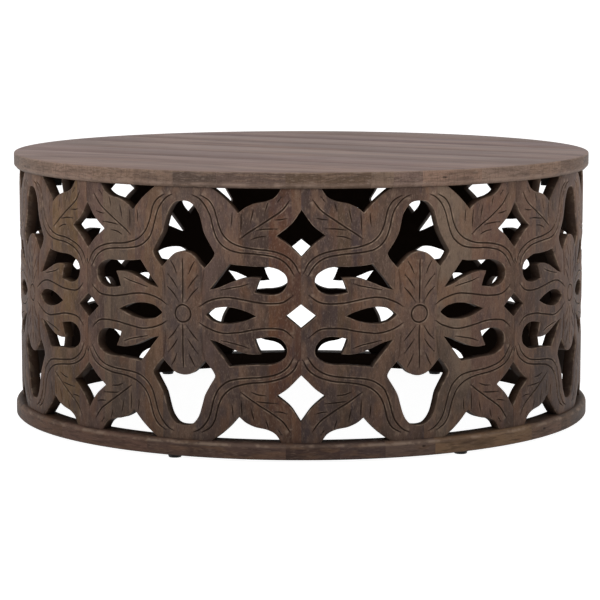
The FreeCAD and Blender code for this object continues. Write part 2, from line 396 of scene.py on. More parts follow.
@dataclass(frozen=True)
class WashedWood:
    """Mango wood under a dark grey-brown wash, sanded back by hand and sealed with a thin matt lacquer.

    The wash sits dark in cuts and pores, so they read nearly black, and thin on high places, so
    worn edges and some streaks show the warm wood below.

    Attributes:
        name: The material's name.
        tones: Where each board starts, as a share of the span, and its tone.
        figures: The layers of figure, from the lowest up.
        grain: Which way the grain runs.
        turn_degrees: How far the piece is turned from the front, which centres the pattern on it.
        span: The angle, or for planks the width in metres, that the tones are spread over.
        worn: The tone of worn edges.
        sunk: The tone of the wash in carved lines.
        hidden: The near-black tone inside and underneath: a dark stain, deepened as painted shade.
        roughness: The least and greatest roughness.
        gloss: How strongly the lacquer mirrors the light.
        relief: The height of the open grain, in millimetres.
        wander: How far the grain strays from straight, in millimetres.
        wander_size: The size of those strays, in millimetres.
        rub_size: The size of the patches in which edges are rubbed, in millimetres.
        rub_least: How much of the rubbing is left between those patches.
        knots: The knots, where the grain runs round the ring.
        foot: How strongly the colour shows at the foot of the wall: painted shade, darker towards the floor.
        head: How strongly it shows at the head of the wall: painted light, brighter towards the top.
    """

    name: str
    tones: Tones
    figures: tuple[Figure, ...]
    grain: Grain = Grain.ROUND_THE_RING
    turn_degrees: float = 0.0
    span: float = math.tau
    worn: str = "#8b7562"
    sunk: str = "#2a1f19"
    hidden: str = "#2b1f18"
    roughness: tuple[float, float] = (0.5, 0.7)
    gloss: float = 0.35
    relief: float = 0.12
    wander: float = 9.0
    wander_size: float = 60.0
    rub_size: float = 11.0
    rub_least: float = 0.08
    knots: tuple[Knot, ...] = ()
    foot: float = 1.0
    head: float = 1.0

    def material(self) -> Material:
        """Build the material.

        Returns:
            The material, which reads Object coordinates and the wear, groove and inside attributes.
        """
        material = bpy.data.materials.new(self.name)
        tree = emptied_tree(material)
        place, share = self._grain_place(tree)
        ramp = add_node(tree, "ShaderNodeValToRGB", {0: share})
        self._lay_tones(ramp.color_ramp)
        board_shift, hidden_gloss = 40.0, 0.02
        board = add_node(
            tree, "ShaderNodeMath", {0: ramp.outputs["Alpha"], 1: board_shift}, operation="MULTIPLY")
        layers = []
        for figure in self.figures:
            scale = [1 / (size * MM) for size in figure.size]
            sized = add_node(tree, "ShaderNodeVectorMath", {0: place, 1: scale}, operation="MULTIPLY")
            noise = add_node(
                tree, "ShaderNodeTexNoise",
                {"Vector": sized, "W": board, "Scale": 1.0, "Detail": figure.detail},
                noise_dimensions="4D")
            cover = add_node(
                tree, "ShaderNodeMapRange",
                {0: noise, 1: figure.levels[0], 2: figure.levels[1], 4: figure.strength},
                interpolation_type="SMOOTHSTEP")
            layers.append((cover, figure.colour))
        layers += [(self._knot_cover(tree, place, knot), self.sunk) for knot in self.knots]
        # The worn tone also paints highlights on some edges, and the hidden tone is a dark stain deepened as
        # painted shade.
        layers += zip(self._attribute_covers(tree, place), (self.worn, self.sunk, self.hidden))
        colour = ramp
        for cover, tone in layers:
            inputs = {0: cover, 6: colour, 7: linear(tone)}
            colour = add_node(tree, "ShaderNodeMix", inputs, data_type="RGBA").outputs[2]
        source = add_node(tree, "ShaderNodeTexCoord")
        parts = add_node(tree, "ShaderNodeSeparateXYZ", {0: source.outputs["Object"]})
        # Painted shade and light: the whole colour is scaled from foot at the bottom of the wall to head at
        # its top.
        level = add_node(
            tree, "ShaderNodeMapRange",
            {0: parts.outputs[2], 1: Drum.wall_bottom, 2: Drum.wall_top, 3: self.foot, 4: self.head})
        colour_with_painted_light = add_node(tree, "ShaderNodeVectorMath", {0: colour, "Scale": level}, operation="SCALE")
        shine = add_node(tree, "ShaderNodeMapRange", {0: cover, 3: self.gloss, 4: hidden_gloss})
        rough = add_node(tree, "ShaderNodeMapRange", {0: noise, 3: self.roughness[1], 4: self.roughness[0]})
        bump = add_node(
            tree, "ShaderNodeBump", {"Strength": 1.0, "Distance": self.relief * MM, "Height": noise})
        surface = add_node(
            tree, "ShaderNodeBsdfPrincipled",
            {"Base Color": colour_with_painted_light, "Roughness": rough, "Normal": bump, "IOR": 1.45,
             "Specular IOR Level": shine})
        add_node(tree, "ShaderNodeOutputMaterial", {0: surface})
        return material

    def _attribute_covers(self, tree: Tree, place: Node) -> list[Node | Socket]:
        """Say how fully each point is worn, sunk and hidden; the worn and hidden tones also paint light and
        shade.

        Args:
            tree: The material's tree.
            place: The point's place in the grain.

        Returns:
            The three covers, in that order.
        """
        wear, groove, inside = (
            add_node(tree, "ShaderNodeAttribute", attribute_name=name).outputs["Fac"]
            for name in ("wear", "groove", "inside"))
        patches = add_node(
            tree, "ShaderNodeTexNoise", {"Vector": place, "Scale": 1 / (self.rub_size * MM), "Detail": 3.0})
        least_rubbed, most_rubbed, first_settled, all_settled = 0.47, 0.62, 0.1, 0.9
        rub = add_node(
            tree, "ShaderNodeMapRange",
            {0: patches, 1: least_rubbed, 2: most_rubbed, 3: self.rub_least},
            interpolation_type="SMOOTHSTEP")
        broken = add_node(tree, "ShaderNodeMath", {0: wear, 1: rub}, operation="MULTIPLY")
        settled = add_node(
            tree, "ShaderNodeMapRange", {0: groove, 1: first_settled, 2: all_settled},
            interpolation_type="SMOOTHSTEP")
        return [broken, settled, inside]

    def _knot_cover(self, tree: Tree, place: Node, knot: Knot) -> Node:
        """Say how fully one knot covers each point, from its ragged edge inwards.

        Args:
            tree: The material's tree.
            place: The point's place in the grain.
            knot: The knot.

        Returns:
            The cover.
        """
        middle = (knot.height, 0.0, math.radians(knot.degrees) * Drum.wall_radius)
        offset = add_node(tree, "ShaderNodeVectorMath", {0: place, 1: middle}, operation="SUBTRACT")
        halves = (2 / knot.width, 0.0, 2 / knot.length)
        sized = add_node(tree, "ShaderNodeVectorMath", {0: offset, 1: halves}, operation="MULTIPLY")
        away = add_node(tree, "ShaderNodeVectorMath", {0: sized}, operation="LENGTH").outputs["Value"]
        ragged = add_node(
            tree, "ShaderNodeTexNoise", {"Vector": place, "Scale": 1 / knot.width, "Detail": 2.0})
        reach = add_node(tree, "ShaderNodeMath", {0: ragged, 1: away}, operation="ADD")
        faintest, fullest, darkness = 1.7, 1.0, 0.9
        return add_node(
            tree, "ShaderNodeMapRange", {0: reach, 1: faintest, 2: fullest, 4: darkness},
            interpolation_type="SMOOTHSTEP")

    def _lay_tones(self, ramp: bpy.types.ColorRamp) -> None:
        """Give each board its tone, and in the alpha a number that shifts its grain.

        Args:
            ramp: The ramp, which starts with two stops.
        """
        first_shift, shift_step = 0.11, 0.37
        ramp.interpolation = "CONSTANT"
        for number, (start, tone) in enumerate(self.tones):
            stop = ramp.elements[number] if number < 2 else ramp.elements.new(start)
            stop.position = start
            stop.color = (*linear(tone)[:3], (number * shift_step + first_shift) % 1)

    def _grain_place(self, tree: Tree) -> tuple[Node, Node]:
        """Find each point's place in the grain, and its share of the span.

        Args:
            tree: The material's tree.

        Returns:
            The place, as across, through and along the grain, and the share.
        """
        source = add_node(tree, "ShaderNodeTexCoord")
        turned = add_node(
            tree, "ShaderNodeMapping",
            {0: source.outputs["Object"], "Rotation": (0.0, 0.0, -math.radians(self.turn_degrees))})
        east, north, height = add_node(tree, "ShaderNodeSeparateXYZ", {0: turned}).outputs
        if self.grain is Grain.ALONG_THE_PLANKS:
            across, through, along, measure = north, height, east, north
        else:
            forward = add_node(tree, "ShaderNodeMath", {0: north, 1: -1.0}, operation="MULTIPLY")
            measure = add_node(tree, "ShaderNodeMath", {0: east, 1: forward}, operation="ARCTAN2")
            flat = add_node(tree, "ShaderNodeCombineXYZ", {0: east, 1: north})
            through = add_node(tree, "ShaderNodeVectorMath", {0: flat}, operation="LENGTH").outputs["Value"]
            arc = add_node(tree, "ShaderNodeMath", {0: measure, 1: Drum.wall_radius}, operation="MULTIPLY")
            across, along = (arc, height) if self.grain is Grain.UP_THE_WALL else (height, arc)
        straight = add_node(tree, "ShaderNodeCombineXYZ", {0: across, 1: through, 2: along})
        drift = add_node(
            tree, "ShaderNodeTexNoise",
            {"Vector": straight, "Scale": 1 / (self.wander_size * MM), "Detail": 1.0})
        centred = add_node(tree, "ShaderNodeMath", {0: drift, 1: 0.5}, operation="SUBTRACT")
        stray = add_node(tree, "ShaderNodeMath", {0: centred, 1: self.wander * MM}, operation="MULTIPLY")
        place = add_node(tree, "ShaderNodeVectorMath", {0: straight, 1: stray}, operation="ADD")
        share = add_node(
            tree, "ShaderNodeMapRange", {0: measure, 1: -self.span / 2, 2: self.span / 2}, clamp=True)
        return place, share


class Drum:
    """The sizes of the wall that everything else follows, read from the frame."""

    wall_inner_radius, wall_radius, wall_bottom, wall_top = reach_of(nodes_of("carved_panel"))
    wall_thickness = wall_radius - wall_inner_radius
    wall_height = wall_top - wall_bottom
    wall_middle = (wall_top + wall_bottom) / 2
    panels = ("front", "right", "back", "left")
    panel_angle = math.tau / len(panels)
    tile_angle = panel_angle / 4


# Carved drum wall


class Cut(Enum):
    """How a carved line is shaped across."""

    V_CUT = "v cut"
    HOLLOW = "hollow"


@dataclass(frozen=True)
class CarvedLine:
    """One carved line, as (across, up) shares of the quarter tile.

    Attributes:
        width: Its full width, where it is deepest.
        depth: Its depth.
        run_out: The length over which each end rises to the surface.
        cut: Its shape across.
        rubbed: How far the wash is rubbed off its shoulders.
        shares: The points that it runs through.
    """

    width: float = 4.0 * MM
    depth: float = 2.2 * MM
    run_out: float = 11 * MM
    cut: Cut = Cut.V_CUT
    rubbed: float = 0.7
    shares: tuple[Share, ...] = ()


centre_diamond_shares = (((0.0, 0.096), (0.125, 0.0)),)
upper_diamond_shares = (
    ((0.0, 0.834), (0.085, 0.722), (0.201, 0.631)),
    ((0.201, 0.631), (0.106, 0.566), (0.0, 0.467)),
)
edge_hole_shares = (
    ((0.165, 1.0), (0.213, 0.936), (0.284, 0.901), (0.383, 0.881), (0.461, 0.848), (0.518, 0.805)),
    ((0.518, 0.805), (0.589, 0.878), (0.66, 0.939), (0.745, 1.0)),
)
vase_hole_shares = (
    (
        (1.0, 0.891), (0.936, 0.881), (0.891, 0.844), (0.858, 0.79), (0.837, 0.722), (0.814, 0.645),
        (0.773, 0.573), (0.729, 0.505), (0.72, 0.478), (0.749, 0.43), (0.809, 0.368),
    ),
    ((0.809, 0.368), (0.858, 0.419), (0.901, 0.46), (0.943, 0.483), (1.0, 0.493)),
)
comma_hole_shares = (
    ((0.766, 0.197), (0.593, 0.407)),
    (
        (0.593, 0.407), (0.504, 0.395), (0.376, 0.387), (0.279, 0.387), (0.199, 0.37), (0.135, 0.331),
        (0.113, 0.284), (0.122, 0.232), (0.16, 0.189), (0.224, 0.166), (0.298, 0.168), (0.386, 0.183),
    ),
    ((0.386, 0.183), (0.362, 0.247), (0.333, 0.301)),
    ((0.333, 0.301), (0.418, 0.304), (0.504, 0.289), (0.599, 0.254), (0.691, 0.216), (0.766, 0.197)),
)
eye_hole_shares = (
    ((0.37, 0.0), (0.461, 0.038), (0.56, 0.061), (0.638, 0.066), (0.723, 0.052), (0.78, 0.02), (0.8, 0.0)),
)
hole_shares = (
    centre_diamond_shares, upper_diamond_shares, edge_hole_shares, vase_hole_shares, comma_hole_shares,
    eye_hole_shares,
)

band_line_shares = (
    (
        (0.021, 0.349), (0.057, 0.417), (0.113, 0.464), (0.184, 0.495), (0.284, 0.518), (0.397, 0.528),
        (0.496, 0.545), (0.582, 0.579), (0.645, 0.634), (0.681, 0.701), (0.702, 0.769), (0.723, 0.837),
        (0.766, 0.898), (0.837, 0.939),
    ),
    (
        (0.057, 0.322), (0.099, 0.389), (0.156, 0.437), (0.227, 0.467), (0.326, 0.484), (0.426, 0.491),
        (0.525, 0.501), (0.61, 0.525), (0.681, 0.579), (0.716, 0.64), (0.738, 0.708), (0.759, 0.784),
        (0.794, 0.851), (0.851, 0.912), (0.908, 0.939),
    ),
)
leaf_midrib_shares = (
    (0.092, 0.912), (0.156, 0.83), (0.255, 0.763), (0.355, 0.701), (0.44, 0.647), (0.496, 0.607),
)
leaf_vein_shares = (
    ((0.17, 0.925), (0.191, 0.898)),
    ((0.27, 0.891), (0.291, 0.824)),
    ((0.39, 0.83), (0.411, 0.742)),
    ((0.489, 0.796), (0.496, 0.674)),
    ((0.121, 0.769), (0.165, 0.759), (0.213, 0.756)),
    ((0.213, 0.688), (0.291, 0.684), (0.369, 0.674)),
    ((0.291, 0.627), (0.35, 0.621), (0.411, 0.6)),
    ((0.567, 0.803), (0.574, 0.715)),
)
side_petal_line_shares = (
    (0.071, 0.159), (0.142, 0.111), (0.227, 0.098), (0.34, 0.102), (0.44, 0.118), (0.539, 0.134),
    (0.624, 0.142), (0.709, 0.129), (0.794, 0.098), (0.851, 0.064),
)
short_petal_vein_shares = ((0.426, 0.256), (0.496, 0.233), (0.596, 0.213), (0.667, 0.199))
upright_petal_midrib_shares = ((1.0, 0.087), (1.0, 0.2), (1.0, 0.32), (1.0, 0.435))
upright_petal_vein_shares = (
    ((0.892, 0.417), (0.922, 0.37), (0.945, 0.319)),
    ((0.875, 0.301), (0.915, 0.255), (0.953, 0.203)),
    ((0.863, 0.21), (0.91, 0.165), (0.953, 0.109)),
)
upright_petal_side_shares = ((0.809, 0.368), (0.824, 0.3), (0.832, 0.22), (0.838, 0.15))


@dataclass
class Sheet:
    """One face of the wall, laid flat.

    Attributes:
        points: One row of across and up for each corner, in metres.
        triangles: The corner numbers of each triangle, counterclockwise from outside.
        depth: How far each corner lies behind the wall's outside.
        wear: How worn each corner is.
        groove: How deep in a carved line each corner is.
    """

    points: Array
    triangles: Array
    depth: Array
    wear: Array
    groove: Array


def smooth_run(points: Array, spacing: float, axis: float) -> Array:
    """Run a smooth curve through points and space it evenly.

    Args:
        points: The points; two make a straight run.
        spacing: The distance between the new points, about.
        axis: The upright mirror axis that a curve which ends on it crosses squarely.

    Returns:
        The evenly spaced points, with the first and last ones kept.
    """
    if len(points) > 2:
        ends = []
        for end, neighbour in ((points[0], points[1]), (points[-1], points[-2])):
            on_axis = abs(end[0] - axis) < MICRON
            ends.append((2 * axis - neighbour[0], neighbour[1]) if on_axis else 2 * end - neighbour)
        before, after = ends
        knots = np.vstack([before, points, after])
        shares = np.linspace(0, 1, 12, endpoint=False)[:, None]
        runs = []
        for p0, p1, p2, p3 in zip(knots[:-3], knots[1:-2], knots[2:-1], knots[3:]):
            bend = (2 * p0 - 5 * p1 + 4 * p2 - p3) * shares**2 + (3 * p1 - p0 - 3 * p2 + p3) * shares**3
            runs.append(p1 + ((p2 - p0) * shares + bend) / 2)
        points = np.vstack(runs + [points[-1:]])
    gone = np.concatenate(([0.0], np.cumsum(np.hypot(*np.diff(points, axis=0).T))))
    steps = np.linspace(0, gone[-1], max(2, round(gone[-1] / spacing) + 1))
    return np.column_stack([np.interp(steps, gone, points[:, 0]), np.interp(steps, gone, points[:, 1])])


def nearest_on_run(points: Array, run: Array) -> tuple[Array, Array]:
    """Find how near each point is to a run of straight stretches.

    Args:
        points: The points to measure from.
        run: The run's corners.

    Returns:
        Each point's distance to the run, and the length along the run to the nearest place.
    """
    starts, steps = run[:-1], np.diff(run, axis=0)
    lengths = np.hypot(*steps.T)
    gone = np.concatenate(([0.0], np.cumsum(lengths)[:-1]))
    offsets = points[:, None] - starts
    shares = np.clip((offsets * steps).sum(2) / lengths**2, 0, 1)
    gaps = np.hypot(*np.moveaxis(offsets - shares[..., None] * steps, 2, 0))
    nearest = gaps.argmin(1)
    rows = np.arange(len(points))
    return gaps[rows, nearest], gone[nearest] + shares[rows, nearest] * lengths[nearest]


def inside_polygon(points: Array, polygon: Array) -> Array:
    """Say which points lie inside a closed polygon.

    Args:
        points: The points.
        polygon: The polygon's corners.

    Returns:
        True for each point inside.
    """
    x, y = points[:, :1], points[:, 1:]
    x1, y1 = polygon.T
    x2, y2 = np.roll(polygon, -1, axis=0).T
    rise = np.where(y2 == y1, 1.0, y2 - y1)
    crossed = ((y1 > y) != (y2 > y)) & (x < x1 + (y - y1) * (x2 - x1) / rise)
    return crossed.sum(1) % 2 == 1


def square_to(run: Array) -> Array:
    """Find the direction to the left of a run at each of its corners."""
    ahead = np.gradient(run, axis=0)
    return np.column_stack([-ahead[:, 1], ahead[:, 0]]) / np.hypot(*ahead.T)[:, None]


@dataclass
class QuarterTile:
    """A quarter of one repeat of the wall, laid flat, from where flowers meet to a flower's middle.

    Attributes:
        width: The tile's width, along the wall's outside.
        height: The tile's height, from the wall's middle to its edge.
        thickness: The wall's thickness.
        edge_round: The radius that sanding gave the holes' outer edges.
        edge_fall: How far the carved face falls away towards a hole.
        edge_fall_reach: How far from a hole this starts.
        inner_round: The radius of the holes' inner edges.
        seam_break: The small bevel beside each seam.
        button_radius: The radius of the button in the middle of a flower.
        wear_reach: How far from an edge or a cut the wash is rubbed thin.
        shoulder_reach: The width of the rubbed line beside a cut.
        outline_spacing: The distance between corners along a hole's edge.
        line_spacing: The distance between corners along a carved line.
        field_spacing: The distance between corners on the open face.
    """

    width: float
    height: float
    thickness: float
    edge_round: float = 1.6 * MM
    edge_fall: float = 1.3 * MM
    edge_fall_reach: float = 8.0 * MM
    inner_round: float = 1.0 * MM
    seam_break: float = 0.4 * MM
    button_radius: float = 12.5 * MM
    wear_reach: float = 1.5 * MM
    shoulder_reach: float = 0.8 * MM
    outline_spacing: float = 2.6 * MM
    line_spacing: float = 2.8 * MM
    field_spacing: float = 6.5 * MM

    def __post_init__(self) -> None:
        """Lay out the holes' edges and the carved lines."""
        self.size = np.array([self.width, self.height])
        self.edges = []
        self.holes = []
        for outline in hole_shares:
            runs = [
                smooth_run(np.array(run) * self.size, self.outline_spacing, self.width)
                for run in outline]
            self.edges.extend(runs)
            corner = [(0.0, 0.0)] if outline is centre_diamond_shares else np.empty((0, 2))
            self.holes.append(np.vstack(runs + [corner]))
        turns = np.linspace(0, math.pi / 2, num=6)
        button = tuple(zip(
            1 - np.sin(turns) * self.button_radius / self.width,
            np.cos(turns) * self.button_radius / self.height))
        cuts = (
            (CarvedLine(), (*band_line_shares, leaf_midrib_shares)),
            (CarvedLine(3.4 * MM, 1.8 * MM, 6 * MM, rubbed=0.3), leaf_vein_shares),
            (CarvedLine(), (side_petal_line_shares,)),
            (CarvedLine(3.2 * MM, 1.7 * MM), (short_petal_vein_shares,)),
            (CarvedLine(run_out=8 * MM), (upright_petal_midrib_shares,)),
            (CarvedLine(3.8 * MM, 2.0 * MM, 10 * MM, rubbed=0.2), upright_petal_vein_shares),
            (CarvedLine(run_out=0.0), (button,)),
            (CarvedLine(7 * MM, 1.8 * MM, 9 * MM, Cut.HOLLOW), (upright_petal_side_shares,)),
        )
        self.lines = [replace(cut, shares=shares) for cut, runs in cuts for shares in runs]

    def in_hole(self, points: Array) -> Array:
        """Say which points lie in one of the holes."""
        return np.any([inside_polygon(points, hole) for hole in self.holes], axis=0)

    def edge_gap(self, points: Array) -> Array:
        """Measure each point's distance to the nearest edge of a hole."""
        return np.min([nearest_on_run(points, run)[0] for run in self.edges], axis=0)

    def rim_runs(self, spacing: float) -> list[Array]:
        """Lay points along the tile's four sides, where there is wood.

        Args:
            spacing: The distance between them.

        Returns:
            The runs of points.
        """
        ends = np.array([point for run in self.edges for point in (run[0], run[-1])])
        nudge = 0.001
        runs = []
        for side in range(4):
            level = (0.0, self.size[side % 2])[side // 2]
            fixed, free = side % 2, 1 - side % 2
            meetings = ends[np.abs(ends[:, fixed] - level) < MICRON][:, free]
            stops = sorted({0.0, self.size[free]} | set(meetings))
            for low, high in zip(stops[:-1], stops[1:]):
                run = np.empty((2, 2))
                run[:, fixed] = level
                run[:, free] = (low, high)
                middle = run.mean(0) * (1 - nudge) + self.size / 2 * nudge
                if not self.in_hole(middle[None])[0]:
                    runs.append(self._with_shoulders(self._graded(run, spacing), fixed, level))
        return runs

    def _with_shoulders(self, run: Array, fixed: int, level: float) -> Array:
        """Add points to a run along one side where a carved line ends on it.

        Args:
            run: The run.
            fixed: The direction, 0 for across or 1 for up, in which it stays level.
            level: Where it lies in that direction.

        Returns:
            The run with a point on each shoulder of those lines.
        """
        free = 1 - fixed
        for line in self.lines:
            if line.cut is not Cut.V_CUT or line.run_out:
                continue
            half = line.width / 2
            for end in (self.size * line.shares[0], self.size * line.shares[-1]):
                if abs(end[fixed] - level) >= MICRON:
                    continue
                for offset in (0.0, half, half + self.shoulder_reach):
                    for place in (end[free] - offset, end[free] + offset):
                        clear = np.abs(run[:, free] - place).min() > self.shoulder_reach / 2
                        if run[0, free] < place < run[-1, free] and clear:
                            extra = np.where(np.arange(2) == fixed, level, place)
                            run = np.insert(run, np.searchsorted(run[:, free], place), extra, axis=0)
        return run

    def _graded(self, run: Array, spacing: float) -> Array:
        """Space a straight run evenly, with more points close to its ends.

        Args:
            run: Its two ends.
            spacing: The distance between points along its middle.

        Returns:
            The points.
        """
        length = np.hypot(*(run[1] - run[0]))
        close_rows = (0.2, 0.6, 1.2, 2.2)
        close = np.array(close_rows) * self.edge_round / length
        inner = np.linspace(close[-1], 1 - close[-1], max(2, round(length / spacing)))
        shares = np.unique(np.concatenate([[0.0, 1.0], close, 1 - close, inner]))
        return run[0] + (run[1] - run[0]) * shares[:, None]

    def line_depth(self, points: Array) -> tuple[Array, Array]:
        """Work out how deep the carving goes at each point.

        Args:
            points: The points of the tile.

        Returns:
            The depth in metres, and how dark the wash settles there, from 0 to 1.
        """
        depth = np.zeros(len(points))
        wash = np.zeros(len(points))
        hollow_wash = 0.46
        for line in self.lines:
            run = self.line_run(line)
            gap, gone = nearest_on_run(points, run)
            share = self._taper(line, gone, np.hypot(*np.diff(run, axis=0).T).sum())
            level = np.clip(1 - gap / np.maximum(line.width / 2 * share, MICRON), 0, 1)
            if line.cut is Cut.HOLLOW:
                level = level * level * (3 - 2 * level)
            depth = np.maximum(depth, line.depth * share * level)
            wash = np.maximum(wash, level * (1.0 if line.cut is Cut.V_CUT else hollow_wash))
        return depth, wash

    def line_run(self, line: CarvedLine) -> Array:
        """Lay out the middle of one carved line."""
        return smooth_run(np.array(line.shares) * self.size, self.line_spacing, self.width)

    @staticmethod
    def _taper(line: CarvedLine, gone: Array, length: float) -> Array:
        """Say what share of its width and depth a line has.

        Args:
            line: The line.
            gone: Some lengths along it.
            length: Its whole length.

        Returns:
            The share at each of those lengths.
        """
        if not line.run_out:
            return np.ones_like(gone)
        blunt_end = 0.05
        share = np.clip(np.minimum(gone, length - gone) / min(line.run_out, length / 2), 0, 1)
        return np.sqrt(share) * (1 - blunt_end) + blunt_end

    def outer_sheet(self) -> Sheet:
        """Triangulate the carved outside.

        Returns:
            The sheet, with its relief, wear and wash.
        """
        runs = self.edges + self.rim_runs(self.field_spacing)
        seam_rows = [run + (self.seam_break, 0.0) for run in runs if np.all(run[:, 0] == 0.0)]
        edge_rows = self._rows_beside_edges([share * self.edge_round for share in (0.15, 0.5, 1.0, 1.9)])
        edge_clearance, line_clearance, field_clearance = 0.16 * MM, 0.45 * MM, self.field_spacing * 0.45
        groups = [(np.vstack(seam_rows), edge_clearance), (edge_rows, edge_clearance)]
        groups += [(self._rows_beside_line(line), line_clearance) for line in self.lines]
        groups.append((self._field(self.field_spacing), field_clearance))
        runs += [self.line_run(line) for line in self.lines if line.cut is Cut.V_CUT]
        points, triangles = self._triangulate(runs, groups)
        gap = self.edge_gap(points)
        fall = self.edge_fall * np.clip(1 - gap / self.edge_fall_reach, 0, 1) ** 2
        rounding = self._rounding(gap, self.edge_round) + fall
        carved, wash = self.line_depth(points)
        fade = np.clip(gap / self.edge_round, 0, 1)
        wear = np.maximum(np.clip(1 - gap / self.wear_reach, 0, 1), self._shoulder(points))
        return Sheet(points, triangles, rounding + carved * fade, wear, wash * fade)

    def _shoulder(self, points: Array) -> Array:
        """Say how rubbed each point is by the shoulder of a carved line beside it.

        Args:
            points: The points of the tile.

        Returns:
            A value from 0 to 1 for each point.
        """
        near = np.zeros(len(points))
        for line in self.lines:
            if line.cut is Cut.V_CUT:
                gap = nearest_on_run(points, self.line_run(line))[0]
                share = np.clip(1 - np.abs(gap - line.width / 2) / self.shoulder_reach, 0, 1)
                near = np.maximum(near, line.rubbed * share)
        return near

    def inner_sheet(self) -> Sheet:
        """Triangulate the plain inside.

        Returns:
            The sheet, with its triangles turned to face the table's axis.
        """
        groups = [
            (self._rows_beside_edges([self.inner_round]), 0.5 * self.inner_round),
            (self._field(self.field_spacing * 2), self.field_spacing),
        ]
        points, triangles = self._triangulate(self.edges + self.rim_runs(self.field_spacing), groups)
        depth = self.thickness - self._rounding(self.edge_gap(points), self.inner_round)
        blank = np.zeros(len(points))
        return Sheet(points, triangles[:, ::-1], depth, blank, blank)

    @staticmethod
    def _rounding(gap: Array, radius: float) -> Array:
        """Work out how far a quarter round drops, at some distances from its edge."""
        return radius - np.sqrt(radius**2 - np.clip(radius - gap, 0, radius) ** 2)

    def _rows_beside_edges(self, distances: Sequence[float]) -> Array:
        """Lay rows of points beside the holes' edges, on the wood.

        Args:
            distances: How far from the edge each row lies.

        Returns:
            The points, without those that another edge comes nearer to than their own.
        """
        own_share = 0.93
        rows = []
        for run in self.edges:
            left = square_to(run)
            for distance in distances:
                for side in (-1, 1):
                    row = run + left * distance * side
                    rows.append(row[self.edge_gap(row) > own_share * distance])
        return self._on_wood(np.vstack(rows), clearance=0.0)

    def _rows_beside_line(self, line: CarvedLine) -> Array:
        """Lay rows of points beside a carved line, at its shoulders and just past them.

        Args:
            line: The line.

        Returns:
            The points.
        """
        run = self.line_run(line)
        left = square_to(run)
        gone = np.concatenate(([0.0], np.cumsum(np.hypot(*np.diff(run, axis=0).T))))
        half = self._taper(line, gone, gone[-1])[:, None] * line.width / 2
        past_shoulder = 0.9 * MM
        reach = [0 * half, half / 2, half]
        if line.cut is Cut.V_CUT:
            reach = [half, half + past_shoulder]
        rows = [run + left * side * distance for distance in reach for side in (-1, 1)]
        return self._on_wood(np.vstack(rows), clearance=0.4 * MM)

    def _field(self, spacing: float) -> Array:
        """Fill the open face with staggered rows of points.

        Args:
            spacing: The distance between them.

        Returns:
            The points.
        """
        rise = spacing * math.sqrt(3) / 2
        rows = []
        for number in range(1, int(self.height / rise) + 1):
            start = spacing * (0.5 if number % 2 else 1.0)
            across = np.arange(start, self.width, spacing)
            rows.append(np.column_stack([across, np.full(len(across), number * rise)]))
        return self._on_wood(np.vstack(rows), clearance=spacing * 0.35)

    def _on_wood(self, points: Array, clearance: float) -> Array:
        """Keep the points on the wood that are clear of the tile's sides and of the holes' edges.

        Args:
            points: The points.
            clearance: How far from the holes' edges they have to be.

        Returns:
            The points that are kept.
        """
        margin = 0.3 * MM
        in_tile = np.all((points > margin) & (points < self.size - margin), axis=1)
        return points[in_tile & ~self.in_hole(points) & (self.edge_gap(points) > clearance)]

    def _triangulate(self, runs: list[Array], groups: list[tuple[Array, float]]) -> tuple[Array, Array]:
        """Triangulate the wood between the holes.

        Args:
            runs: The lines that stay edges.
            groups: Loose points, with how clear of earlier points each group keeps.

        Returns:
            The points, and the triangles as rows of their numbers.
        """
        points = []
        edges = []
        for run in runs:
            edges.extend((len(points) + place, len(points) + place + 1) for place in range(len(run) - 1))
            points.extend(map(tuple, run))
        cell = max(gap for _, gap in groups)
        taken: dict[tuple[int, int], list[Share]] = {}
        for x, y in points:
            taken.setdefault((int(x // cell), int(y // cell)), []).append((x, y))
        for group, gap in groups:
            for x, y in map(tuple, group):
                column, row = int(x // cell), int(y // cell)
                near = (
                    other for i in (-1, 0, 1) for j in (-1, 0, 1)
                    for other in taken.get((column + i, row + j), ()))
                if all((x - px) ** 2 + (y - py) ** 2 > gap * gap for px, py in near):
                    taken.setdefault((column, row), []).append((x, y))
                    points.append((x, y))
        vectors, _, faces, *_ = delaunay_2d_cdt([Vector(point) for point in points], edges, [], 0, MICRON)
        corners = np.array([tuple(vector) for vector in vectors])
        triangles = np.array(faces)
        a, b, c = (corners[triangles[:, place]] for place in range(3))
        area = (b[:, 0] - a[:, 0]) * (c[:, 1] - a[:, 1]) - (b[:, 1] - a[:, 1]) * (c[:, 0] - a[:, 0])
        triangles = triangles[~self.in_hole((a + b + c) / 3) & (area > MICRON**2)]
        used, numbers = np.unique(triangles, return_inverse=True)
        return corners[used], numbers.reshape(-1, 3)


